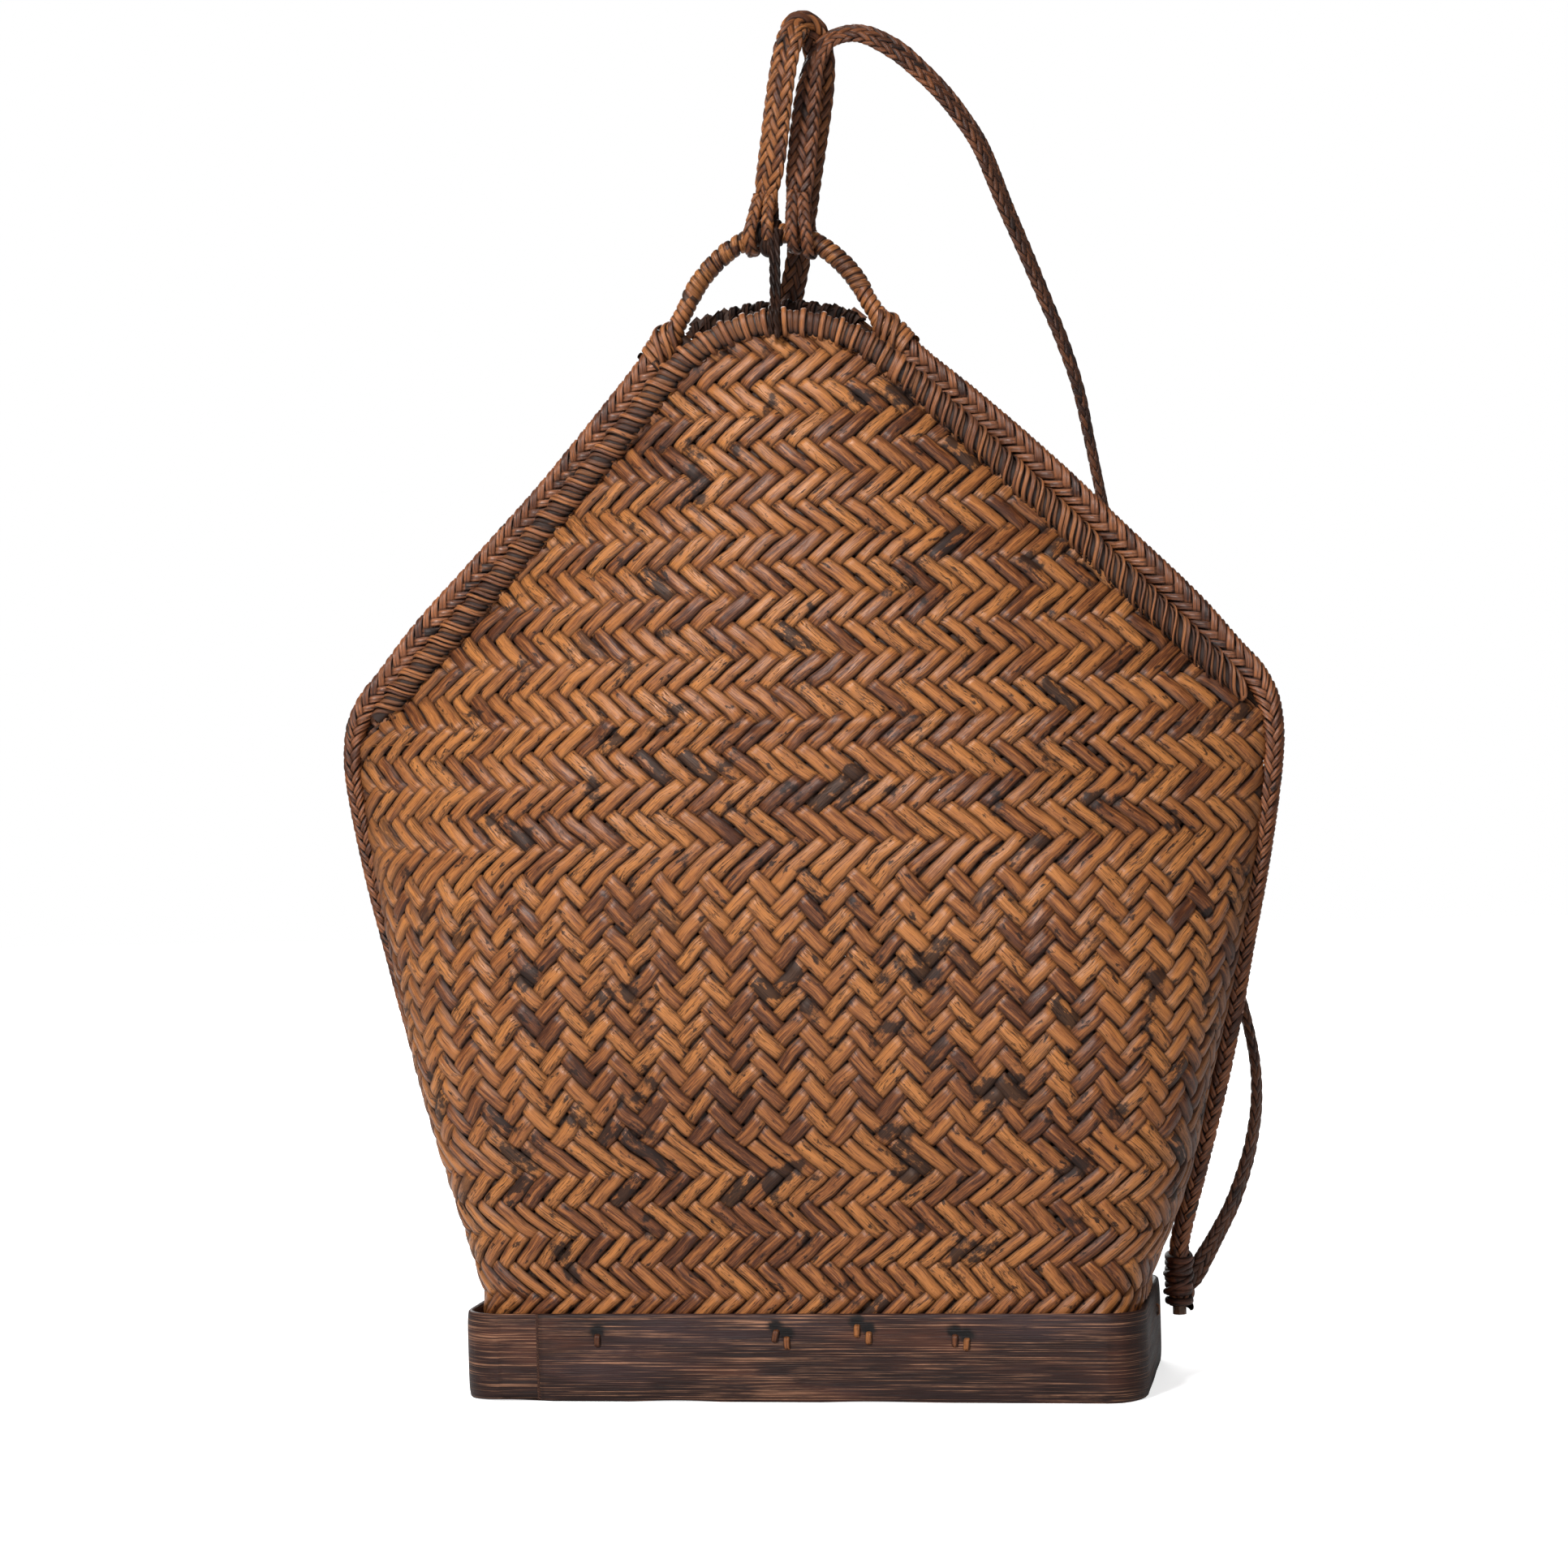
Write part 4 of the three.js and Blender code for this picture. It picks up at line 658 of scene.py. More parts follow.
def add_body():
    """Both walls; above the shoulder every strand that comes in over a slope is on that wall too."""
    pieces = {}
    for u, v, rise, marks in plaited(body_over, UNITS, BODY_ROWS, lift=0.95, crown=1.55, width=1.0,
                                     wobble=0.045):
        quads = strips_quads(*u.shape)
        is_high = v.reshape(-1)[quads[:, 0]] > SHOULDER_ROW
        for turn, name in enumerate(WALLS):
            points, normals, inside, front = body_surface(u, v, turn)
            points = points + normals * rise[..., None]
            places = points.reshape(-1, 3)
            keep = inside.reshape(-1)[quads].max(1) > -EDGE_OVERLAP
            keep &= np.linalg.norm(places[quads[:, 0]] - places[quads[:, 2]], axis=1) < LONGEST_QUAD
            keep &= places[quads].min(1)[:, 2] > PLAIT_BOTTOM
            keep &= front.reshape(-1)[quads[:, 0]] == (turn == 0)
            # Painted shade down the body's sides next to the braids and under the rim
            z = points[..., 2]
            half = half_width(z) + WEAVE_REACH
            side = smooth((np.abs(points[..., 0]) / half - 0.955) / 0.04) * smooth((z - 40.0) / 50.0)
            under = smooth(1.0 - inside / 9.0) * (inside < 50.0)
            shade = 0.5 * np.maximum(side * (inside > 50.0), 0.6 * under)
            shaded_marks = {**marks, "along": marks["run"] * CELL_ALONG, "painted_shade": np.clip(marks["painted_shade"] + shade, 0, 1)}
            for level, chosen in (("low", keep & ~is_high), ("high", keep & is_high)):
                pieces.setdefault(f"{name}_{level}", Parts()).add(points, quads[chosen], shaded_marks, normals)
    for key, parts in pieces.items():
        parts.make("plait_" + key, PLAIT, "basket", "plait", "woven_body")


def add_floor_plait():
    """Floor of the basket: a level 2/2 twill inside the foot's outline."""
    parts = Parts()
    for u, v, rise, marks in plaited(twill(2), FLOOR_COUNT, FLOOR_ROWS, lift=0.7, crown=1.0, width=0.98):
        x = (np.mod(u, FLOOR_COUNT) - FLOOR_COUNT / 2) * FLOOR_CELL
        points = np.stack([x, v * FLOOR_CELL, FLOOR_HEIGHT - rise], -1)
        quads = strips_quads(*u.shape)
        places = points.reshape(-1, 3)
        radius = (np.abs(places[:, 0]) / FLOOR_HALF) ** 10 + (np.abs(places[:, 1]) / FLOOR_DEPTH) ** 10
        keep = radius[quads].max(1) < 1.15
        keep &= np.abs(places[quads[:, 0], 0] - places[quads[:, 2], 0]) < 20
        marks["along"] = marks["run"] * CELL_ALONG
        parts.add(points, quads[keep], marks, np.broadcast_to(-UP, points.shape))
    parts.make("plait_floor", PLAIT, "basket", "plait", "woven_body")


add_body()
add_floor_plait()

# ---- lines

LINE_STEPS = 40


class Line:
    """Smooth line through points, measured along its length."""

    def __init__(self, points):
        points = np.asarray(points, float)
        padded = np.concatenate([2 * points[:1] - points[1:2], points, 2 * points[-1:] - points[-2:-1]])
        t = (np.arange(LINE_STEPS) / LINE_STEPS)[:, None]
        rows = []
        for a, b, c, d in zip(padded, padded[1:], padded[2:], padded[3:]):
            ab, bc, cd = (np.sqrt(np.linalg.norm(q - p)) for p, q in ((a, b), (b, c), (c, d)))
            first = ((b - a) / ab - (c - a) / (ab + bc) + (c - b) / bc) * bc
            second = ((c - b) / bc - (d - b) / (bc + cd) + (d - c) / cd) * bc
            rows.append(b + first * t + (3 * (c - b) - 2 * first - second) * t ** 2
                        + (2 * (b - c) + first + second) * t ** 3)
        self.points = np.concatenate(rows + [padded[-2:-1]])
        self.places = np.arange(len(self.points)) / LINE_STEPS
        self.at = running(np.linalg.norm(np.diff(self.points, axis=0), axis=1))
        self.length = self.at[-1]
        self.tangents = unit(np.gradient(self.points, axis=0))

    def pick(self, table, s):
        return np.stack([np.interp(s, self.at, table[:, k]) for k in range(3)], -1)

    def frame(self, s, rear=REAR):
        """Centre, direction, outward and across directions at distances s."""
        along = unit(self.pick(self.tangents, s))
        beyond = s - np.clip(s, 0, self.length)
        centre = self.pick(self.points, s) + along * beyond[..., None]
        outward = unit(np.cross(along, rear))
        return centre, along, outward, np.cross(outward, along)

    def reach(self, axis, value, low=0.0, high=1.0):
        """Distance at which a coordinate first reaches a value between two shares of the length."""
        s = np.linspace(low * self.length, high * self.length, 2400)
        coordinate = np.interp(s, self.at, self.points[:, axis])
        return float(s[np.argmax(coordinate >= value)])


# Shares of the sizes below: the frame's width, depth and height from foot to arch, and the straps' from
# their tops to the foot, with their twist in right angles
FRAME_SIDE = [
    (0, 1, 0), (0, 1, 0.0744), (0.022, 0.955, 0.1252), (0.097, 0.877, 0.1823), (0.187, 0.797, 0.2406),
    (0.33, 0.64, 0.3384), (0.44, 0.493, 0.4174), (0.513, 0.395, 0.4751), (0.586, 0.315, 0.5371),
    (0.718, 0.213, 0.6612), (0.847, 0.147, 0.7768), (0.948, 0.093, 0.8884), (0.996, 0.064, 0.9587),
    (1, 0.053, 1),
]
FRAME_SHOULDER = [(0.9606, 0.048, 0.0591), (0.9823, 0.048, 0.1078), (0.9847, 0.053, 0.1494)]
FRAME_SLOPE = [0.2366, 0.3737, 0.5062, 0.6386, 0.7662]
ARCH = [(1, 0.8495), (0.843, 0.9035), (0.657, 0.9442), (0.455, 0.974), (0.227, 0.9928)]
STRAP_LEFT = [
    (-0.0546, 0.1178, 1.0253, 0.3), (-0.0488, 0.0789, 1.0415, 0.25), (-0.0375, 0.0292, 1.0583, 0.2),
    (-0.0225, 0.0097, 1.0951, 0.2), (-0.0085, 0.0195, 1.1329, 0.24), (0.006, 0.0789, 1.1638, 0.2),
    (0.023, 0.1968, 1.1825, 0.14), (0.0458, 0.3243, 1.1795, 0.11), (0.0582, 0.413, 1.159, 0.11),
    (0.0561, 0.4519, 1.1322, 0.22), (0.0437, 0.4714, 1.0957, 0.33), (0.0291, 0.4919, 1.0581, 0.44),
    (0.0125, 0.5114, 1.0139, 0.56), (-0.0094, 0.5308, 0.9675, 0.56), (-0.065, 0.5892, 0.8978, 0.44),
    (-0.1923, 0.7351, 0.7626, 0.33), (-0.3326, 0.8984, 0.6232, 0.28), (-0.4792, 1.0422, 0.4816, 0.28),
    (-0.6622, 1.1405, 0.3422, 0.33), (-0.8546, 1.16, 0.2218, 0.44), (-0.9703, 1.1146, 0.1204, 0.44),
    (-1.006, 1, 0.057, 0.33),
]
STRAP_RIGHT = [
    (0.0307, 0.1178, 1.0253, 0.1), (0.0343, 0.1297, 1.0415, 0.09), (0.0391, 0.147, 1.0587, 0.09),
    (0.0459, 0.1773, 1.0894, 0.14), (0.0578, 0.2065, 1.1278, 0.33), (0.0728, 0.2357, 1.1521, 0.5),
    (0.104, 0.2714, 1.1694, 0.56), (0.1637, 0.3146, 1.1745, 0.56), (0.2375, 0.3632, 1.1603, 0.53),
    (0.2906, 0.413, 1.1403, 0.6), (0.3332, 0.4519, 1.1203, 0.64), (0.3686, 0.5114, 1.0993, 0.68),
    (0.4029, 0.5503, 1.0753, 0.71), (0.4538, 0.6097, 1.0203, 0.76), (0.4923, 0.6486, 0.9806, 0.8),
    (0.5317, 0.6778, 0.9385, 0.84), (0.567, 0.7081, 0.9001, 0.87), (0.5967, 0.7373, 0.8597, 0.92),
    (0.6175, 0.7859, 0.8133, 0.98), (0.6445, 0.8357, 0.7499, 1), (0.7069, 0.9341, 0.6126, 1),
    (0.8169, 1.0616, 0.4626, 1), (0.9793, 1.1697, 0.338, 0.98), (1.0437, 1.1795, 0.2957, 0.98),
    (1.0966, 1.1795, 0.2556, 0.96), (1.1278, 1.1795, 0.2197, 0.91), (1.1392, 1.1795, 0.1867, 0.86),
    (1.1361, 1.1795, 0.1603, 0.8), (1.12, 1.1795, 0.1312, 0.76), (1.0891, 1.1795, 0.1048, 0.71),
    (1.0532, 1.1405, 0.0815, 0.61), (1.0252, 1.0811, 0.0665, 0.44), (1.006, 1, 0.057, 0.33),
]

FOOT_X, FOOT_Y, FOOT_Z = 146.0, 37.5, 20.0
FRAME_HALF, FRAME_SHOULDER_Z, FRAME_APEX, SLOPE_Y = 192.4, 262.0, 476.7, 2.2
ARCH_TOP, ARCH_FOOT, ARCH_HALF, ARCH_Y = 473.4, 433.0, 39.6, 6.0
BRAID_END = 4.0


def frame_line():
    """Line of the frame from the left foot over the arch to the right foot."""
    half = [(mix(FOOT_X, FRAME_HALF, wide), FOOT_Y * deep, mix(FOOT_Z, FRAME_SHOULDER_Z, high))
            for wide, deep, high in FRAME_SIDE]
    for wide, deep, high in FRAME_SHOULDER:
        z = mix(FRAME_SHOULDER_Z, ARCH_TOP, high)
        half.append((wide * (FRAME_APEX - z) / math.tan(SLOPE), FOOT_Y * deep, z))
    for high in FRAME_SLOPE:
        z = mix(FRAME_SHOULDER_Z, ARCH_TOP, high)
        t = (high - FRAME_SLOPE[0]) / (1 - FRAME_SLOPE[0])
        half.append(((FRAME_APEX - z) / math.tan(SLOPE), mix(SLOPE_Y, ARCH_Y, t), z))
    for wide, high in ARCH:
        half.append((ARCH_HALF * wide, ARCH_Y, mix(FRAME_SHOULDER_Z, ARCH_TOP, high)))
    half = np.array(half)
    points = np.concatenate([half * (-1, 1, 1), [(0, ARCH_Y, ARCH_TOP)], half[::-1]])
    points[:, 0] += lean_at(points[:, 2], BACK_LEAN)
    return Line(points)


FRAME = frame_line()
ARCH_START = FRAME.reach(2, ARCH_FOOT, 0.0, 0.5)
ARCH_END = FRAME.length - Line(FRAME.points[::-LINE_STEPS]).reach(2, ARCH_FOOT, 0.0, 0.5)


def frame_place(s):
    """Frame's line at distances s, with the braid's half sizes: deep below the shoulder, wide above it."""
    centre, along, outward, across = FRAME.frame(s)
    t = smooth((centre[..., 2] - 250.0) / 50.0)
    return centre, along, outward, across, mix(4.4, 6.2, t), mix(6.2, 4.4, t)


# ---- plaited tubes

TUBE_WIDTH, TUBE_WOBBLE = 0.97, 0.05


def plait_tube(parts, place, length, count, step, seam, shape, lift, crown, backwards=False, inset=0.9,
               detail=COARSE, group=None, profile=SINGLE, shade_painted_along=None):
    """Round plait of count strands each way on the line that place(s) gives.

    A strand goes over group others, half of them where none is given: then a seam of the plait lies
    at the share of the turn that is given, and otherwise the middle of a row does. A given shade function
    paints shade by distance.
    """
    middle = (count // 2 - 0.5) / 2 if group is None else (group - 1) / 4
    wide, thin, power = shape
    # Oval or squared oval whose points lie at equal steps round it
    angle = np.linspace(0, 2 * math.pi, 1441)
    sx, sy = (np.sign(c) * np.abs(c) ** (2 / power) for c in (np.cos(angle), np.sin(angle)))
    round_way = running(np.hypot(np.diff(sx) * wide, np.diff(sy) * thin))
    share = round_way / round_way[-1]
    rows = (0, int(2 * length / step) + 1)
    for u, v, rise, marks in plaited(twill(group or count // 2), count, rows, lift, crown, TUBE_WIDTH,
                                     TUBE_WOBBLE, detail, profile):
        s = np.clip(v * step, 0, length)
        if backwards:
            s = length - s
        turn = np.mod((u - middle) / count + seam, 1.0)
        x = np.interp(turn, share, sx)
        y = np.interp(turn, share, sy)
        centre, _, wide_way, thin_way, wide, thin = place(s)
        nx = np.sign(x) * np.abs(x) ** (power - 1) / wide
        ny = np.sign(y) * np.abs(y) ** (power - 1) / thin
        normal = unit(wide_way * nx[..., None] + thin_way * ny[..., None])
        points = (centre + wide_way * ((wide - inset) * x)[..., None]
                  + thin_way * ((thin - inset) * y)[..., None] + normal * rise[..., None])
        marks["along"] = marks["run"] * step * 0.0007
        if shade_painted_along:
            marks["painted_shade"] = np.clip(marks["painted_shade"] + shade_painted_along(s), 0, 1)
        parts.add(points, strips_quads(*u.shape), marks, normal)


def add_edge_braids():
    for name, start, sign in (("left", ARCH_START, -1), ("right", ARCH_END, 1)):
        length = start - BRAID_END if sign < 0 else FRAME.length - BRAID_END - start
        parts = Parts()
        plait_tube(parts, lambda s: frame_place(start + sign * s), length, count=6, step=5.2, seam=0.75,
                   shape=(1.2, 1.0, 2.0), lift=0.75, crown=1.0, profile=TWIN)
        parts.make("edge_plait_" + name, BRAID, "basket", "braid", "edge_braid_" + name)


# ---- windings

TURN_ACROSS = np.array([-1.0, -0.93, -0.55, 0.0, 0.55, 0.93, 1.0])
TURN_RISE = np.array([-1.15, -0.45, -0.1, 0.0, -0.1, -0.45, -1.15])


def ribbon(parts, points, outs, width, thick, strand=None, spell=None, painted_shade=0.0):
    """Flat strand along a row of points, crowned, with its edges turned down."""
    along = unit(np.gradient(points, axis=0))
    side = unit(np.cross(along, outs))
    out = np.cross(side, along)
    width = np.broadcast_to(width, len(points))[:, None]
    body = (points[:, None] + side[:, None] * (width / 2 * TURN_ACROSS)[..., None]
            + out[:, None] * (thick * TURN_RISE)[:, None])
    run = running(np.linalg.norm(np.diff(points, axis=0), axis=1))
    if strand is None:
        strand, spell = rng.random(2)
    marks = {
        "along": (run * 0.001 + strand * 0.4)[:, None],
        "across": TURN_ACROSS,
        "strand": strand,
        "spell": np.asarray(spell)[..., None],
        "painted_shade": np.asarray(painted_shade)[..., None],
    }
    quads = grid_quads(len(points), len(TURN_ACROSS))
    parts.add(body, quads, marks, np.broadcast_to(out[:, None], body.shape))


def around(place, s, angle, grow=0.0, halves=None):
    """Points round a line at distances s and angles, with their outward directions."""
    centre, _, wide_way, thin_way, wide, thin = place(s)
    if halves is not None:
        wide, thin = halves
    wide = wide + grow
    thin = thin + grow
    c, d = np.cos(angle), np.sin(angle)
    point = centre + wide_way * (wide * c)[..., None] + thin_way * (thin * d)[..., None]
    out = unit(wide_way * (c / wide)[..., None] + thin_way * (d / thin)[..., None])
    return point, out


def cord_tube(parts, line, radius, strands, lay):
    """Laid cord of round strands along a line."""
    sides = 6
    s = np.linspace(0, line.length, int(line.length / 0.9) + 8)
    centre, _, outward, across = line.frame(s)
    ring = np.linspace(0, 2 * math.pi, sides, endpoint=False)
    out = outward[:, None] * np.cos(ring)[:, None] + across[:, None] * np.sin(ring)[:, None]
    each = radius / 1.9
    taper = smooth(np.minimum(s, line.length - s) / radius + 0.3)
    for k in range(strands):
        angle = 2 * math.pi * (s / lay + k / strands) + rng.normal(0, 0.15)
        way = outward * np.cos(angle)[:, None] + across * np.sin(angle)[:, None]
        body = (centre + way * (radius - each))[:, None] + out * (each * taper)[:, None, None]
        marks = {"along": (s * 0.001)[:, None], "across": np.linspace(-0.8, 0.8, sides),
                 "strand": rng.random(), "spell": 0.5 + 0.4 * np.sin(s / 7.0 + k)[:, None]}
        parts.add(body, grid_quads(len(s), sides, closed=True), marks, out)


def rim_line():
    """Line of the front rim: two slopes and a rounded peak."""
    low = (RIM_APEX - RIM_FOOT) / math.tan(SLOPE)
    high = RIM_FILLET * math.sin(SLOPE)
    slope = [-mix(low, high, i / 5) for i in range(5)]
    points = [(x, RIM_APEX + x * math.tan(SLOPE)) for x in slope]
    middle = RIM_APEX - RIM_FILLET / math.cos(SLOPE)
    for angle in np.linspace(-SLOPE, SLOPE, 11):
        points.append((RIM_FILLET * math.sin(angle), middle + RIM_FILLET * math.cos(angle)))
    points += [(-x, z) for x, z in points[4::-1]]
    wall = WALLS["front"]
    return Line([(x + lean_at(z, wall["lean"]), -setback_at(z, wall) + WEAVE_INSET, z) for x, z in points])


RIM = rim_line()
RIM_WIDE, RIM_THIN, RIM_CORE = 5.3, 4.0, 1.1


def rim_place(s):
    centre, along, outward, across = RIM.frame(s)
    end = np.minimum(s, RIM.length - s)
    share = mix(0.66, 1.0, smooth(end / 16.0))
    return centre, along, outward, across, RIM_WIDE * share, RIM_THIN * share


def add_rim():
    """Groups of turns that lie aslant, steep on the right and level on the left, on a core painted dark as
    shade.
    """
    parts = Parts()
    # Core fully in the shade tone: painted shade in the gaps between the groups of turns
    s, angle = np.meshgrid(np.linspace(0.0, RIM.length, 160), np.linspace(0, 2 * math.pi, 12, endpoint=False),
                           indexing="ij")
    point, out = around(rim_place, s, angle, -RIM_CORE)
    parts.add(point, grid_quads(*s.shape, closed=True), {"painted_shade": 1.0, "strand": 0.2}, out)
    angle = np.linspace(-math.pi - 0.35, math.pi + 0.35, 34)
    lower = 0.5 * (1 - np.cos(angle))
    share = (angle + math.pi) / math.pi - 0.5
    s = 3.0
    while s < RIM.length - 3.0:
        at = s / RIM.length
        period = np.interp(at, [0, 0.45, 0.6, 1], [9.0, 8.6, 6.6, 6.2]) + rng.normal(0, 0.4)
        slant = np.interp(at, [0, 0.36, 0.46, 0.56, 0.66, 1], [-0.75, -0.6, -0.1, -0.15, -0.8, -1.25])
        turns, gather = (np.interp(at, [0, 0.4, 0.5, 0.6, 1], values)
                         for values in ([4.2, 3.4, 3.1, 2.6, 2.4], [0.85, 0.93, 0.97, 0.91, 0.83]))
        turns = int(round(turns + rng.normal(0, 0.3)))
        pitch = period * gather / turns
        width = pitch / math.hypot(1, slant) * 0.99
        for k in range(turns):
            centre = s + period * (1 - gather) / 2 + pitch * (k + 0.5) + rng.normal(0, 0.12)
            route = np.clip(centre + slant * 10.6 * share + rng.normal(0, 0.25) * np.sin(angle), -2,
                            RIM.length + 2)
            wide, thin = rim_place(route)[4:]
            edge = abs(k - (turns - 1) / 2) / max((turns - 1) / 2, 1)
            grow = 0.75 - 1.2 * edge ** 2 - 0.5 * lower ** 3 + rng.normal(0, 0.08)
            point, out = around(rim_place, route, angle, grow, (wide * (1 + 0.16 * lower), thin))
            # Painted shade on the underside of each turn and towards the edges of each group
            painted_shade = np.clip(lower - 0.75, 0, 1) * 2.4 + 0.55 * edge ** 2
            ribbon(parts, point, out, width * (1 - 0.15 * lower ** 4), 0.5 + 0.16 * width, painted_shade=painted_shade)
        s += period
    parts.make("front_rim_turns", WRAP, "basket", "wrap", "front_rim")


def winding(parts, start, end, pitch, width, thick, halves, grow, jitter, phase=0.0, tilt=0.0):
    """Strand wound closely on the frame; halves(s) gives the half sizes that it lies on."""
    turns = abs(end - start) / pitch
    t = np.linspace(0, turns, int(turns * 22) + 2)
    sway = np.interp(t, np.arange(int(turns) + 3), rng.normal(0, jitter, int(turns) + 3))
    angle = phase + 2 * math.pi * t
    s = start + np.sign(end - start) * (t * pitch) + sway * pitch + tilt * np.cos(angle)
    point, out = around(frame_place, s, angle, grow + sway * 0.5, halves(s))
    spells = rng.random(int(turns) + 3)[(t + 0.25).astype(int)]
    ribbon(parts, point, out, width, thick, strand=rng.random(), spell=spells)


def even(radius):
    return lambda _: (radius, radius)


LASH_TURN, LASH_SPAN = 2.6, 5 * 3.2


def add_arch():
    """Close turns on the arch, and bindings at its feet that cross on their way to the braids."""
    start = ARCH_START + LASH_SPAN + 2 * LASH_TURN
    end = ARCH_END - LASH_SPAN - 2 * LASH_TURN
    parts = Parts()
    winding(parts, start - 3, end + 3, pitch=3.25, width=3.3, thick=1.15, halves=even(2.9), grow=1.35,
            jitter=0.1, tilt=0.5)
    parts.make("arch_turns", ARCH_WRAP, "basket", "wrap", "arch_wrap")
    for name, edge, sign in (("left", ARCH_START, 1), ("right", ARCH_END, -1)):
        def swelling(s):
            t = smooth((sign * (s - edge) + 6.0) / 13.0)
            return [mix(half + 0.2, 3.0, t) for half in frame_place(s)[4:]]

        parts = Parts()
        winding(parts, edge - sign * 15.0, edge + sign * (LASH_SPAN + 2 * LASH_TURN), pitch=2.9, width=2.9,
                thick=1.1, halves=swelling, grow=0.9, jitter=0.12, tilt=1.1 * sign)
        t = np.linspace(0, 1, 24)
        for k in range(3):
            s = edge + sign * np.linspace(-9.0 - 3 * k, 7.0 - 2.0 * k, len(t))
            angle = -math.pi / 2 + np.linspace(-1.5, 1.3, len(t)) + 0.35 * (k - 1)
            rise = 2.1 + 0.4 * k - 2.6 * np.linspace(-1, 1, len(t)) ** 4
            point, out = around(frame_place, s, angle, rise, swelling(s))
            ribbon(parts, point, out, width=2.3, thick=0.9)
        parts.make("arch_lashing_turns_" + name, WRAP, "basket", "wrap", "arch_lashing_" + name)


def arch_x(x):
    """Distance along the frame at which the arch reaches x."""
    return FRAME.reach(0, x, ARCH_START / FRAME.length, ARCH_END / FRAME.length)


def add_knot(parts, centre, radius, strand=1.9):
    """Knot wound of a few strands in three directions."""
    angle = np.linspace(0, 2 * math.pi, 26)
    for axis in range(3):
        for shift in (-0.42, 0.0, 0.42):
            ring = radius * math.sqrt(1 - shift ** 2) + 0.35 * axis - 0.5
            local = np.stack([np.cos(angle) * ring, np.sin(angle) * ring, np.full(26, shift * radius)], -1)
            local = np.roll(local, axis, axis=1)
            ribbon(parts, centre + local, unit(local), strand, 0.8)


def add_tie_cord():
    """Dark turns close together on the arch, and two ends that run down over the front rim."""
    parts = Parts()
    middle = arch_x(-6.2)
    winding(parts, middle - 6.6, middle + 3.2, pitch=2.2, width=2.3, thick=1.2, halves=even(4.4), grow=1.2,
            jitter=0.14, phase=2.0)
    rim_top = RIM.points[np.argmax(RIM.points[:, 2])]
    arch = FRAME.frame(np.array([middle]))[0][0]
    add_knot(parts, arch + np.array([-1.6, -4.6, -6.5]), radius=4.2, strand=1.7)
    for k, shift in enumerate((-1.1, 1.1)):
        x = arch[0] + 0.6 + shift
        front = ARCH_Y - 6.4
        rows = [(x - 0.4, ARCH_Y - 5.6, arch[2] + 1.5), (x, front, arch[2] - 3.0)]
        for down, forward in ((0.3, 0.25), (0.62, 0.6), (0.85, 0.86)):
            rows.append((x + 2.0 * down, mix(front, rim_top[1], forward),
                         mix(arch[2] - 3, rim_top[2] + 6.0, down)))
        for angle in (0.35, 0.8, 1.25, 1.57):
            rows.append((x + 2.1, rim_top[1] - 5.9 * math.sin(angle), rim_top[2] + 7.1 * math.cos(angle)))
        for drop in (3.0, 6.0 + 1.5 * k):
            rows.append((x + 2.1 + 0.3 * k, rim_top[1] - 5.8, rim_top[2] - drop))
        cord_tube(parts, Line(rows), radius=1.35, strands=3, lay=16.0)
    parts.make("tie_cord_turns", CORD, "basket", "cord", "tie_cord")


TOP_CORD_HALF, TOP_CORD_FILLET = 37, 82.2


def add_top_cord():
    """Cord over the back wall's top edge, with small dark loops round it."""
    wall = WALLS["back"]
    x = np.linspace(-TOP_CORD_HALF, TOP_CORD_HALF, 19)
    z = wall["top"] - wall["fillet"] + np.sqrt(TOP_CORD_FILLET ** 2 - x ** 2)
    line = Line(np.stack([x + lean_at(z, BACK_LEAN), setback_at(z, wall) - WEAVE_INSET, z], -1))
    parts = Parts()
    cord_tube(parts, line, radius=1.9, strands=2, lay=8.5)
    angle = np.linspace(-2.6, 2.9, 20)
    hang = UP * np.clip(np.abs(angle) - 1.6, 0, 2)[:, None] * 2.6
    for s in np.arange(3.0, line.length - 2.0, 5.6):
        for k in range(2):
            point, out = around(lambda at: (*line.frame(at), 1.7, 1.7), s + 1.5 * k + 0.5 * angle, angle, 0.9)
            ribbon(parts, point - hang, out, width=1.5, thick=0.7)
    parts.make("back_top_cord_turns", CORD, "basket", "cord", "back_top_cord")


# ---- straps

STRAP_WIDE, STRAP_THIN, STRAP_TAPER = 6.9, 2.6, 13.4
STRAP_TOP_HALF, STRAP_END_HALF, STRAP_END_THIN = 5.7, 3.3, 2.9
STRAP_DEPTH, STRAP_SPREAD = 50.875, 4.858586


def strap_reach(z):
    """Width that a strap's sideways share is measured by at a height."""
    low = smooth((z - FOOT_Z) / (FRAME_SHOULDER_Z - FOOT_Z))
    high = smooth((z - FRAME_SHOULDER_Z) / (ARCH_TOP - FRAME_SHOULDER_Z))
    return mix(mix(FOOT_X, FRAME_HALF, low), ARCH_HALF * STRAP_SPREAD, high)


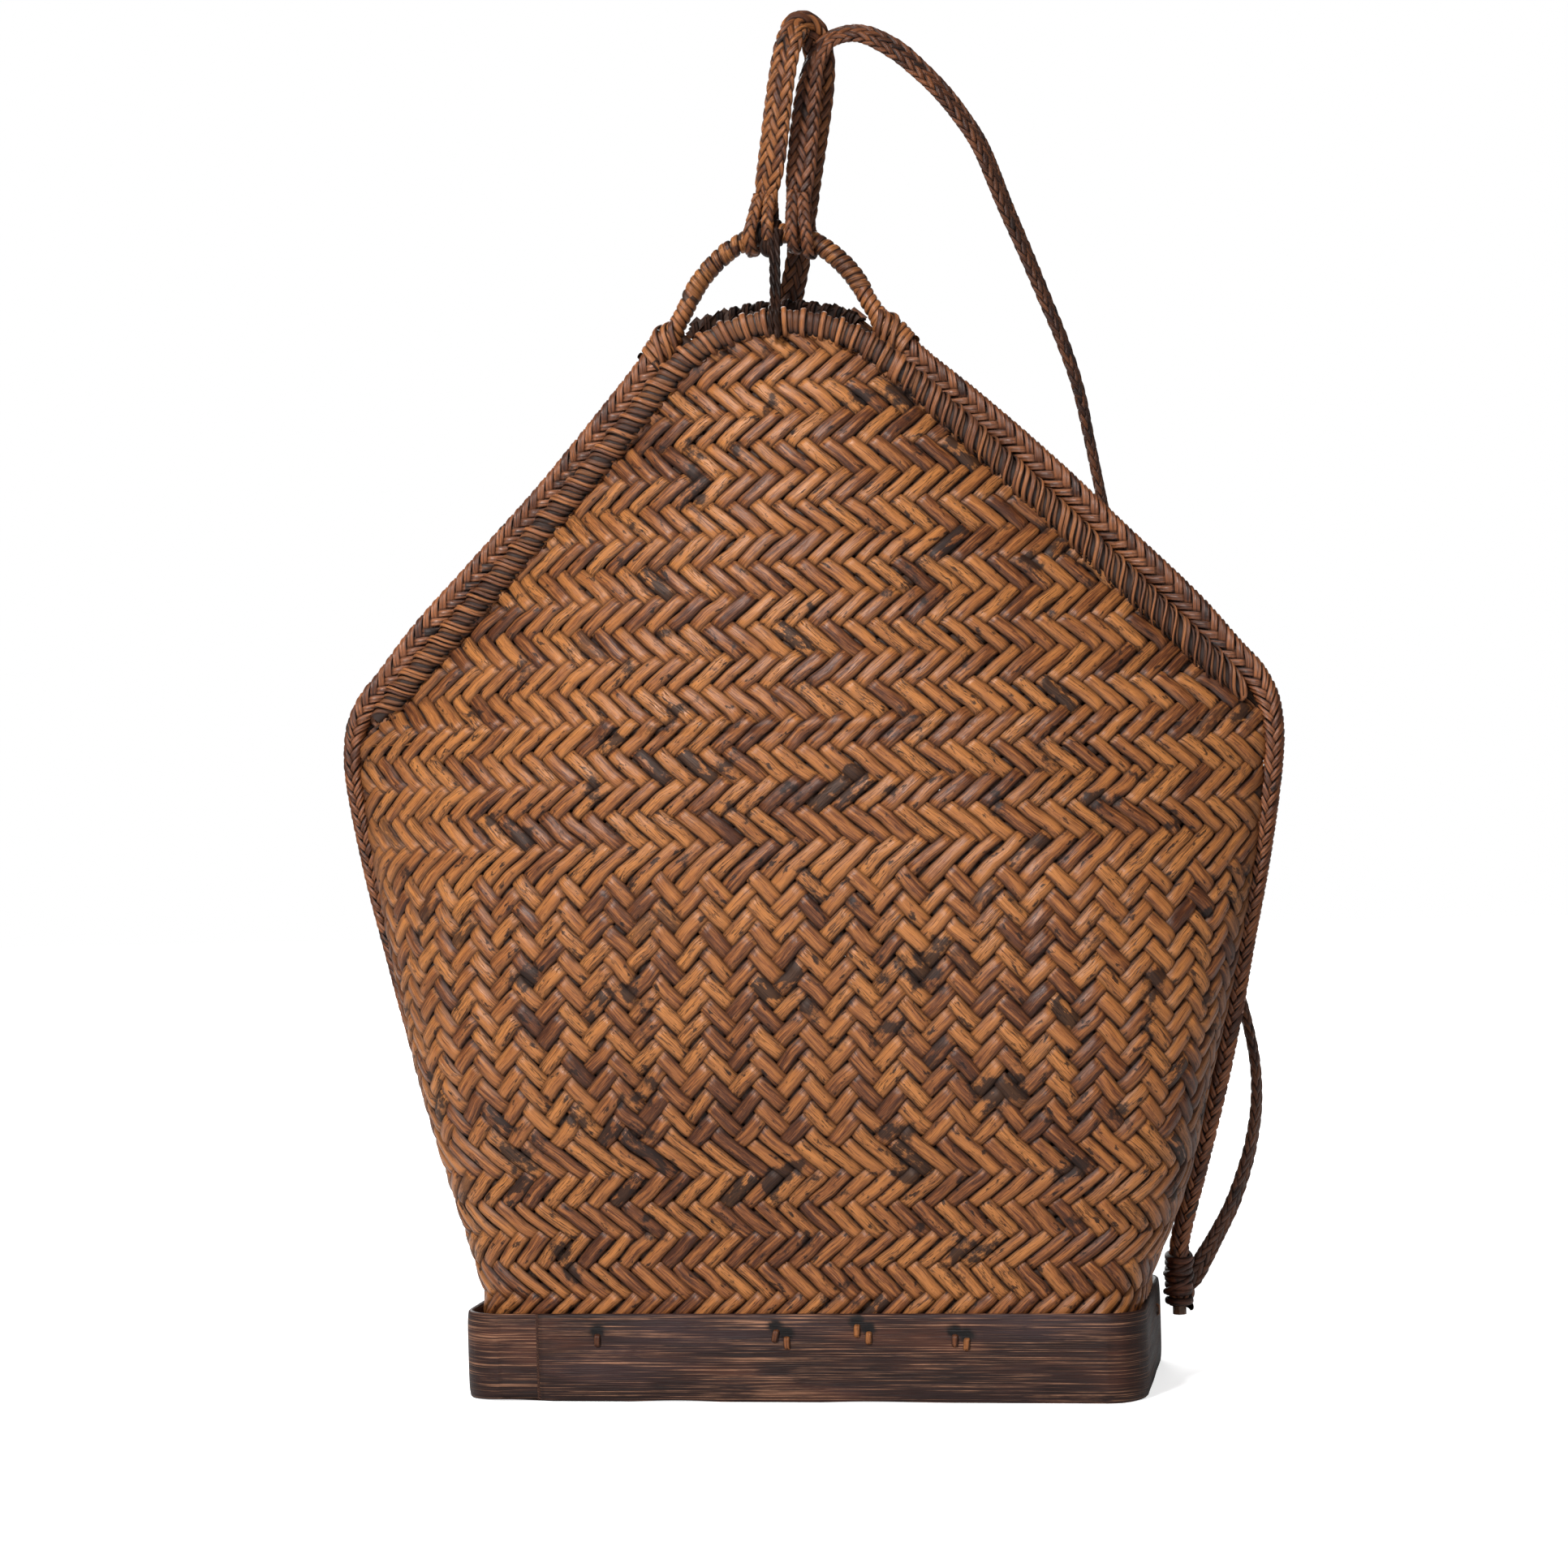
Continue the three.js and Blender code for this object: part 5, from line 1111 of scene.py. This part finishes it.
def strap_place(rows, shift):
    """Line of a strap with its flat side's twist and its size along it, shifted sideways by the arch."""
    rows = np.array(rows)
    z = rows[:, 2] * ARCH_TOP
    x = rows[:, 0] * strap_reach(z) + shift * smooth((12.0 - np.arange(len(rows))) / 5.0)
    line = Line(np.stack([x, rows[:, 1] * STRAP_DEPTH, z], -1))
    twists = np.interp(line.places, np.arange(len(rows)), rows[:, 3]) * math.pi / 2

    def place(s):
        centre, along, flat, deep = line.frame(s)
        twist = np.interp(s, line.at, twists)[..., None]
        wide_way = flat * np.cos(twist) + deep * np.sin(twist)
        thin_way = unit(np.cross(along, wide_way))
        swell = smooth(np.minimum(s, line.length - s) / STRAP_TAPER)
        narrow = np.where(s < line.length / 2, STRAP_TOP_HALF, STRAP_END_HALF)
        return (centre, along, wide_way, thin_way, mix(narrow, STRAP_WIDE, swell),
                mix(STRAP_END_THIN, STRAP_THIN, swell))
    return line, place


# Of each strap: name, line and place, material, and its hitch's x on the arch and half the gap in it
STRAPS = (
    ("left", *strap_place(STRAP_LEFT, 1.0), STRAP_LIGHT, -12.0, 3.9),
    # The right strap and its hitch take the shaded copy of the strap skein
    ("right", *strap_place(STRAP_RIGHT, -2.0), STRAP_SHADED, 5.0, 3.4),
)


def add_straps():
    for name, line, place, material, _, _ in STRAPS:
        parts = Parts()
        # Painted shade on each strap, growing from 110 mm past its top end over the next 60 mm
        plait_tube(parts, place, line.length, count=8, step=5.7, seam=0.75, shape=(6.7, 2.6, 2.6), lift=0.5,
                   crown=0.85, backwards=True, detail=FINE, group=2,
                   shade_painted_along=lambda s: 0.5 * smooth((s - 110.0) / 60.0))
        add_knot(parts, line.points[-1], radius=4.6)
        parts.make("strap_plait_" + name, material, "strap_" + name + "_body", "strap", "strap_" + name)


HITCH_LEGS = ((0.3, 6.2), (0.6, 4.0), (0.88, 1.9))  # share of the way up, and depth there


def add_hitches():
    """Two narrow plaits folded round the arch under each strap, which close in its end."""
    for name, line, _, material, x, apart in STRAPS:
        centre, along = (v[0] for v in FRAME.frame(np.array([arch_x(x)]))[:2])
        parts = Parts()
        for shift in (-apart, apart):
            foot = centre + along * shift
            rise = line.points[0] + UP * 6.5 + along * shift * 0.55 - foot
            fold = [foot + REAR * (6.9 * math.cos(angle)) + UP * (6.6 * math.sin(angle))
                    for angle in np.radians([360, 325, 290, 250, 215, 180])]
            rear, front = ([foot + rise * share + REAR * (way * deep) for share, deep in HITCH_LEGS]
                           for way in (1, -1))
            band = Line(rear[::-1] + fold + front)

            def place(s):
                middle, way, out, side = band.frame(s, along)
                return middle, way, side, out, 2.9, 1.8
            plait_tube(parts, place, band.length, count=4, step=4.6, seam=0.25, shape=(2.9, 1.8, 2.3),
                       lift=0.35, crown=0.6, inset=0.45)
        parts.make("strap_hitch_plait_" + name, material, "basket", "strap", "strap_hitch_" + name)


def add_corner_lashings():
    def halves(s):
        return frame_place(s)[4:]

    for name, start, sign in (("left", BRAID_END, 1), ("right", FRAME.length - BRAID_END, -1)):
        parts = Parts()
        winding(parts, start, start + sign * 21.5, pitch=3.0, width=3.0, thick=1.4, halves=halves, grow=1.5,
                jitter=0.12, tilt=0.8)
        winding(parts, start + sign * 4, start + sign * 17, pitch=6.2, width=2.4, thick=1.2, halves=halves,
                grow=2.2, jitter=0.2, phase=1.0, tilt=-1.5)
        parts.make("corner_lashing_turns_" + name, STRAP_DARK, "basket", "cord", "corner_lashing_" + name)


# ---- foot band

BAND_X, BAND_Y, BAND_CORNER, BAND_HIGH = 138.0, 55.0, 16.0, 35.0
LAP_X, LAP_STEP = -105.0, 0.55
# Stitches: name, face, share of the face's half length, and share of the band's height
STITCHES = [
    ("front_1", "front", -0.5841, 0.7286), ("front_2", "front", -0.0594, 0.7829),
    ("front_3", "front", -0.0261, 0.7029), ("front_4", "front", 0.1783, 0.84),
    ("front_5", "front", 0.2116, 0.76), ("front_6", "front", 0.4594, 0.7314),
    ("front_7", "front", 0.4928, 0.6914), ("right", "right", 0.3273, 0.7429),
    ("left", "left", -0.2182, 0.7429), ("back_1", "back", -0.5217, 0.7429),
    ("back_2", "back", 0.0145, 0.7143), ("back_3", "back", 0.5362, 0.7429),
]
OUTWARD = {"front": (0, -1), "back": (0, 1), "right": (1, 0), "left": (-1, 0)}


def stitch_place(face, share):
    out_x, out_y = OUTWARD[face]
    return BAND_X * (out_x or share), BAND_Y * (out_y or share)


def band_outline():
    """Outline of the band from its lap, round to the right, and the distance along it."""
    x, y = BAND_X - BAND_CORNER, BAND_Y - BAND_CORNER
    rows = [(LAP_X, -BAND_Y)]
    for x, y, turn in ((x, -y, -math.pi / 2), (x, y, 0.0), (-x, y, math.pi / 2), (-x, -y, math.pi)):
        for angle in np.linspace(turn, turn + math.pi / 2, 16):
            rows.append((x + BAND_CORNER * math.cos(angle), y + BAND_CORNER * math.sin(angle)))
    rows = np.array(rows + rows[:1])
    return rows, running(np.hypot(*np.diff(rows, axis=0).T))


def add_band():
    """Bent strip with worn edges; its end shows as a shallow step where it is lapped."""
    rows, length = band_outline()
    straight = np.linspace(0, length[-1], 700, endpoint=False)
    s = np.sort(np.concatenate([straight, length[:-1]]))
    x, y = (np.interp(s, length, rows[:, k]) for k in (0, 1))
    route = np.stack([x, y], -1)
    along = unit(np.roll(route, -1, axis=0) - np.roll(route, 1, axis=0))
    out = np.stack([along[:, 1], -along[:, 0]], -1)

    # Section: depth under the outside and height, up the outside and down the inside
    section = [(0.55 * abs(t) ** 6, 17.5 + t * 17.0) for t in np.linspace(-1, 1, 33)]
    section += [(1.1, BAND_HIGH), (2.2, BAND_HIGH), (2.9, 34.4), (3.0, 18.0), (2.9, 0.6), (2.2, 0.0),
                (1.1, 0.0)]
    deep, high = np.array(section).T
    depth, height = (part * np.ones((len(s), 1)) for part in (deep, high))
    turn = 2 * math.pi * s / length[-1]
    wave, sag = (sum(rng.normal(0, size) * np.sin(k * turn + rng.random() * 7) for k in waves)
                 for size, waves in ((0.10, range(3, 26)), (0.14, range(2, 12))))
    face = (deep < 1.0).astype(float)
    depth += 0.25 * np.abs(wave)[:, None] * face
    height += (sag[:, None] * (1 - height / BAND_HIGH)).clip(0.0, 0.9)
    fore = y < 0.1 - BAND_Y
    gone = fore & (x < LAP_X + 1.0) & (x > -122.0)
    depth += np.where(gone, LAP_STEP, 0.0)[:, None] * face * (height < 34.5)
    place = route[:, None, :] - out[:, None, :] * depth[..., None]
    points = np.concatenate([place, height[..., None]], -1)

    way = np.concatenate([out, np.zeros((len(s), 1))], -1)[:, None, :]
    way = np.where((deep > 2.5)[None, :, None], -way, way)
    way[:, (deep > 0.6) & (high > 34.8)] = UP
    way[:, (deep > 0.6) & (high < 0.2)] = -UP

    # Painted shade in the lap's groove, in the stitches' holes and on the right end
    groove = np.exp(-((x + 104.6) / 0.7) ** 2) * (y < 1 - BAND_Y)
    step = np.where(fore, np.clip((x + 104.2) / 0.9, 0, 1), 1.0)
    holes = np.zeros_like(height)
    for _, side, share, up in STITCHES:
        centre = stitch_place(side, share)
        apart = np.hypot(x - centre[0], y - centre[1])[:, None] + rng.normal(0, 0.25, height.shape)
        rise = height - up * BAND_HIGH - 2.9
        holes = np.maximum(holes, smooth(2.1 - np.hypot(apart / 1.9, rise / 1.7)))
    right_end_shade = 0.5 * smooth((x - 126.0) / 10.0)[:, None]
    painted_shade = np.maximum(np.maximum(groove[:, None] * (step[:, None] + 0.3), right_end_shade), holes)

    parts = Parts()
    quads = grid_quads(len(s) + 1, len(deep), closed=True) % height.size
    parts.add(points, quads, {"along": (s * 0.001)[:, None], "across": height * 0.001, "painted_shade": painted_shade}, way)
    parts.make("foot_band_strip", BAND, "basket", "wood", "foot_band")


def add_stitches():
    t = np.linspace(-1, 1, 17)
    bulge = 1.35 * (1 - np.abs(t) ** 3.5) - 0.9 * np.abs(t) ** 6
    for name, face, share, up in STITCHES:
        out = np.array([*OUTWARD[face], 0.0])
        side = np.array([-out[1], out[0], 0.0])
        centre = np.array([*stitch_place(face, share), up * BAND_HIGH])
        tilt = rng.normal(0, 0.12)
        line = (centre + side * (tilt * 4.0 * t)[:, None] + out * bulge[:, None]
                + UP * (2.9 * t - 0.9)[:, None])
        parts = Parts()
        outs = unit(out + UP * (0.9 * t ** 3)[:, None])
        # Painted shade at both ends, where the stitch goes into the band
        ribbon(parts, line, outs, width=2.6, thick=1.0, painted_shade=np.abs(t) ** 7)
        parts.make("stitch_" + name, STRAP_LIGHT, "basket", "wrap", "band_stitch_" + name)


add_edge_braids()
add_rim()
add_arch()
add_tie_cord()
add_top_cord()
add_straps()
add_hitches()
add_corner_lashings()
add_band()
add_stitches()

for node in ("edge_rod_left", "edge_rod_right", "arch_rod"):
    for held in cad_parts[node].material_slots:
        held.material = ROD

# ---- floor and light

GLOW_NEAR, GLOW_FAR = 0.7, 0.36
WHITE = (1, 1, 1, 1)


def link_by_ray(tree, other, seen, surface):
    """The seen shader where the camera looks, and the other one for all other light."""
    ray = put(tree, "ShaderNodeLightPath").outputs["Is Camera Ray"]
    mixer = put(tree, "ShaderNodeMixShader", {0: ray, 1: other.outputs[0], 2: seen.outputs[0]})
    tree.links.new(mixer.outputs[0], surface)


def add_floor():
    """Pale floor that glows a little for the camera, more so far away."""
    bpy.ops.mesh.primitive_plane_add(size=8.0, location=(0, 0, 0))
    floor = bpy.context.object
    floor.name = "floor"
    material, tree, shader = new_material("pale_floor")
    speck = put(tree, "ShaderNodeTexNoise", {"Scale": 40.0, "Detail": 3.0})
    colour = ramp(tree, speck.outputs[0], [(0.3, (0.83, 0.83, 0.83, 1)), (0.7, (0.86, 0.86, 0.86, 1))])
    tree.links.new(colour, shader.inputs["Base Color"])
    shader.inputs["Roughness"].default_value = 0.9
    room = put(tree, "ShaderNodeTexCoord").outputs["Object"]
    away = put(tree, "ShaderNodeVectorMath", {0: room}, operation="LENGTH").outputs["Value"]
    power = maths(tree, "MULTIPLY_ADD", ramped(tree, away, 1.0, -0.5), GLOW_FAR, GLOW_NEAR)
    glow = put(tree, "ShaderNodeEmission", {"Color": WHITE, "Strength": power})
    total = put(tree, "ShaderNodeAddShader", {0: shader.outputs[0], 1: glow.outputs[0]})
    link_by_ray(tree, shader, total, tree.nodes["Material Output"].inputs["Surface"])
    floor.data.materials.append(material)


def add_light(name, place, target, power, size):
    data = bpy.data.lights.new(name, "AREA")
    data.energy = power
    data.shape = "DISK"
    data.size = size
    lamp = bpy.data.objects.new(name, data)
    lamp.location = place
    lamp.rotation_euler = (Vector(target) - Vector(place)).to_track_quat("-Z", "Y").to_euler()
    bpy.context.scene.collection.objects.link(lamp)


def add_world():
    """White for the camera, and a dim light from all round."""
    world = bpy.data.worlds.new("pale_room")
    bpy.context.scene.world = world
    world.use_nodes = True
    tree = world.node_tree
    dim = tree.nodes["Background"]
    dim.inputs["Color"].default_value = WHITE
    dim.inputs["Strength"].default_value = 0.2
    white = put(tree, "ShaderNodeBackground", {"Color": WHITE, "Strength": 1.0})
    link_by_ray(tree, dim, white, tree.nodes["World Output"].inputs["Surface"])


add_floor()
add_world()
add_light("key", (-0.62, -1.6, 1.7), (0, 0, 0.28), 56.0, 0.45)
add_light("fill", (0.2, -2.4, 0.7), (0, 0, 0.25), 8.0, 1.2)
add_light("back", (-0.7, 2.1, 1.2), (0, 0, 0.25), 34.0, 1.4)
bpy.context.scene.view_settings.view_transform = "Standard"

# ---- end

bpy.context.view_layer.update()
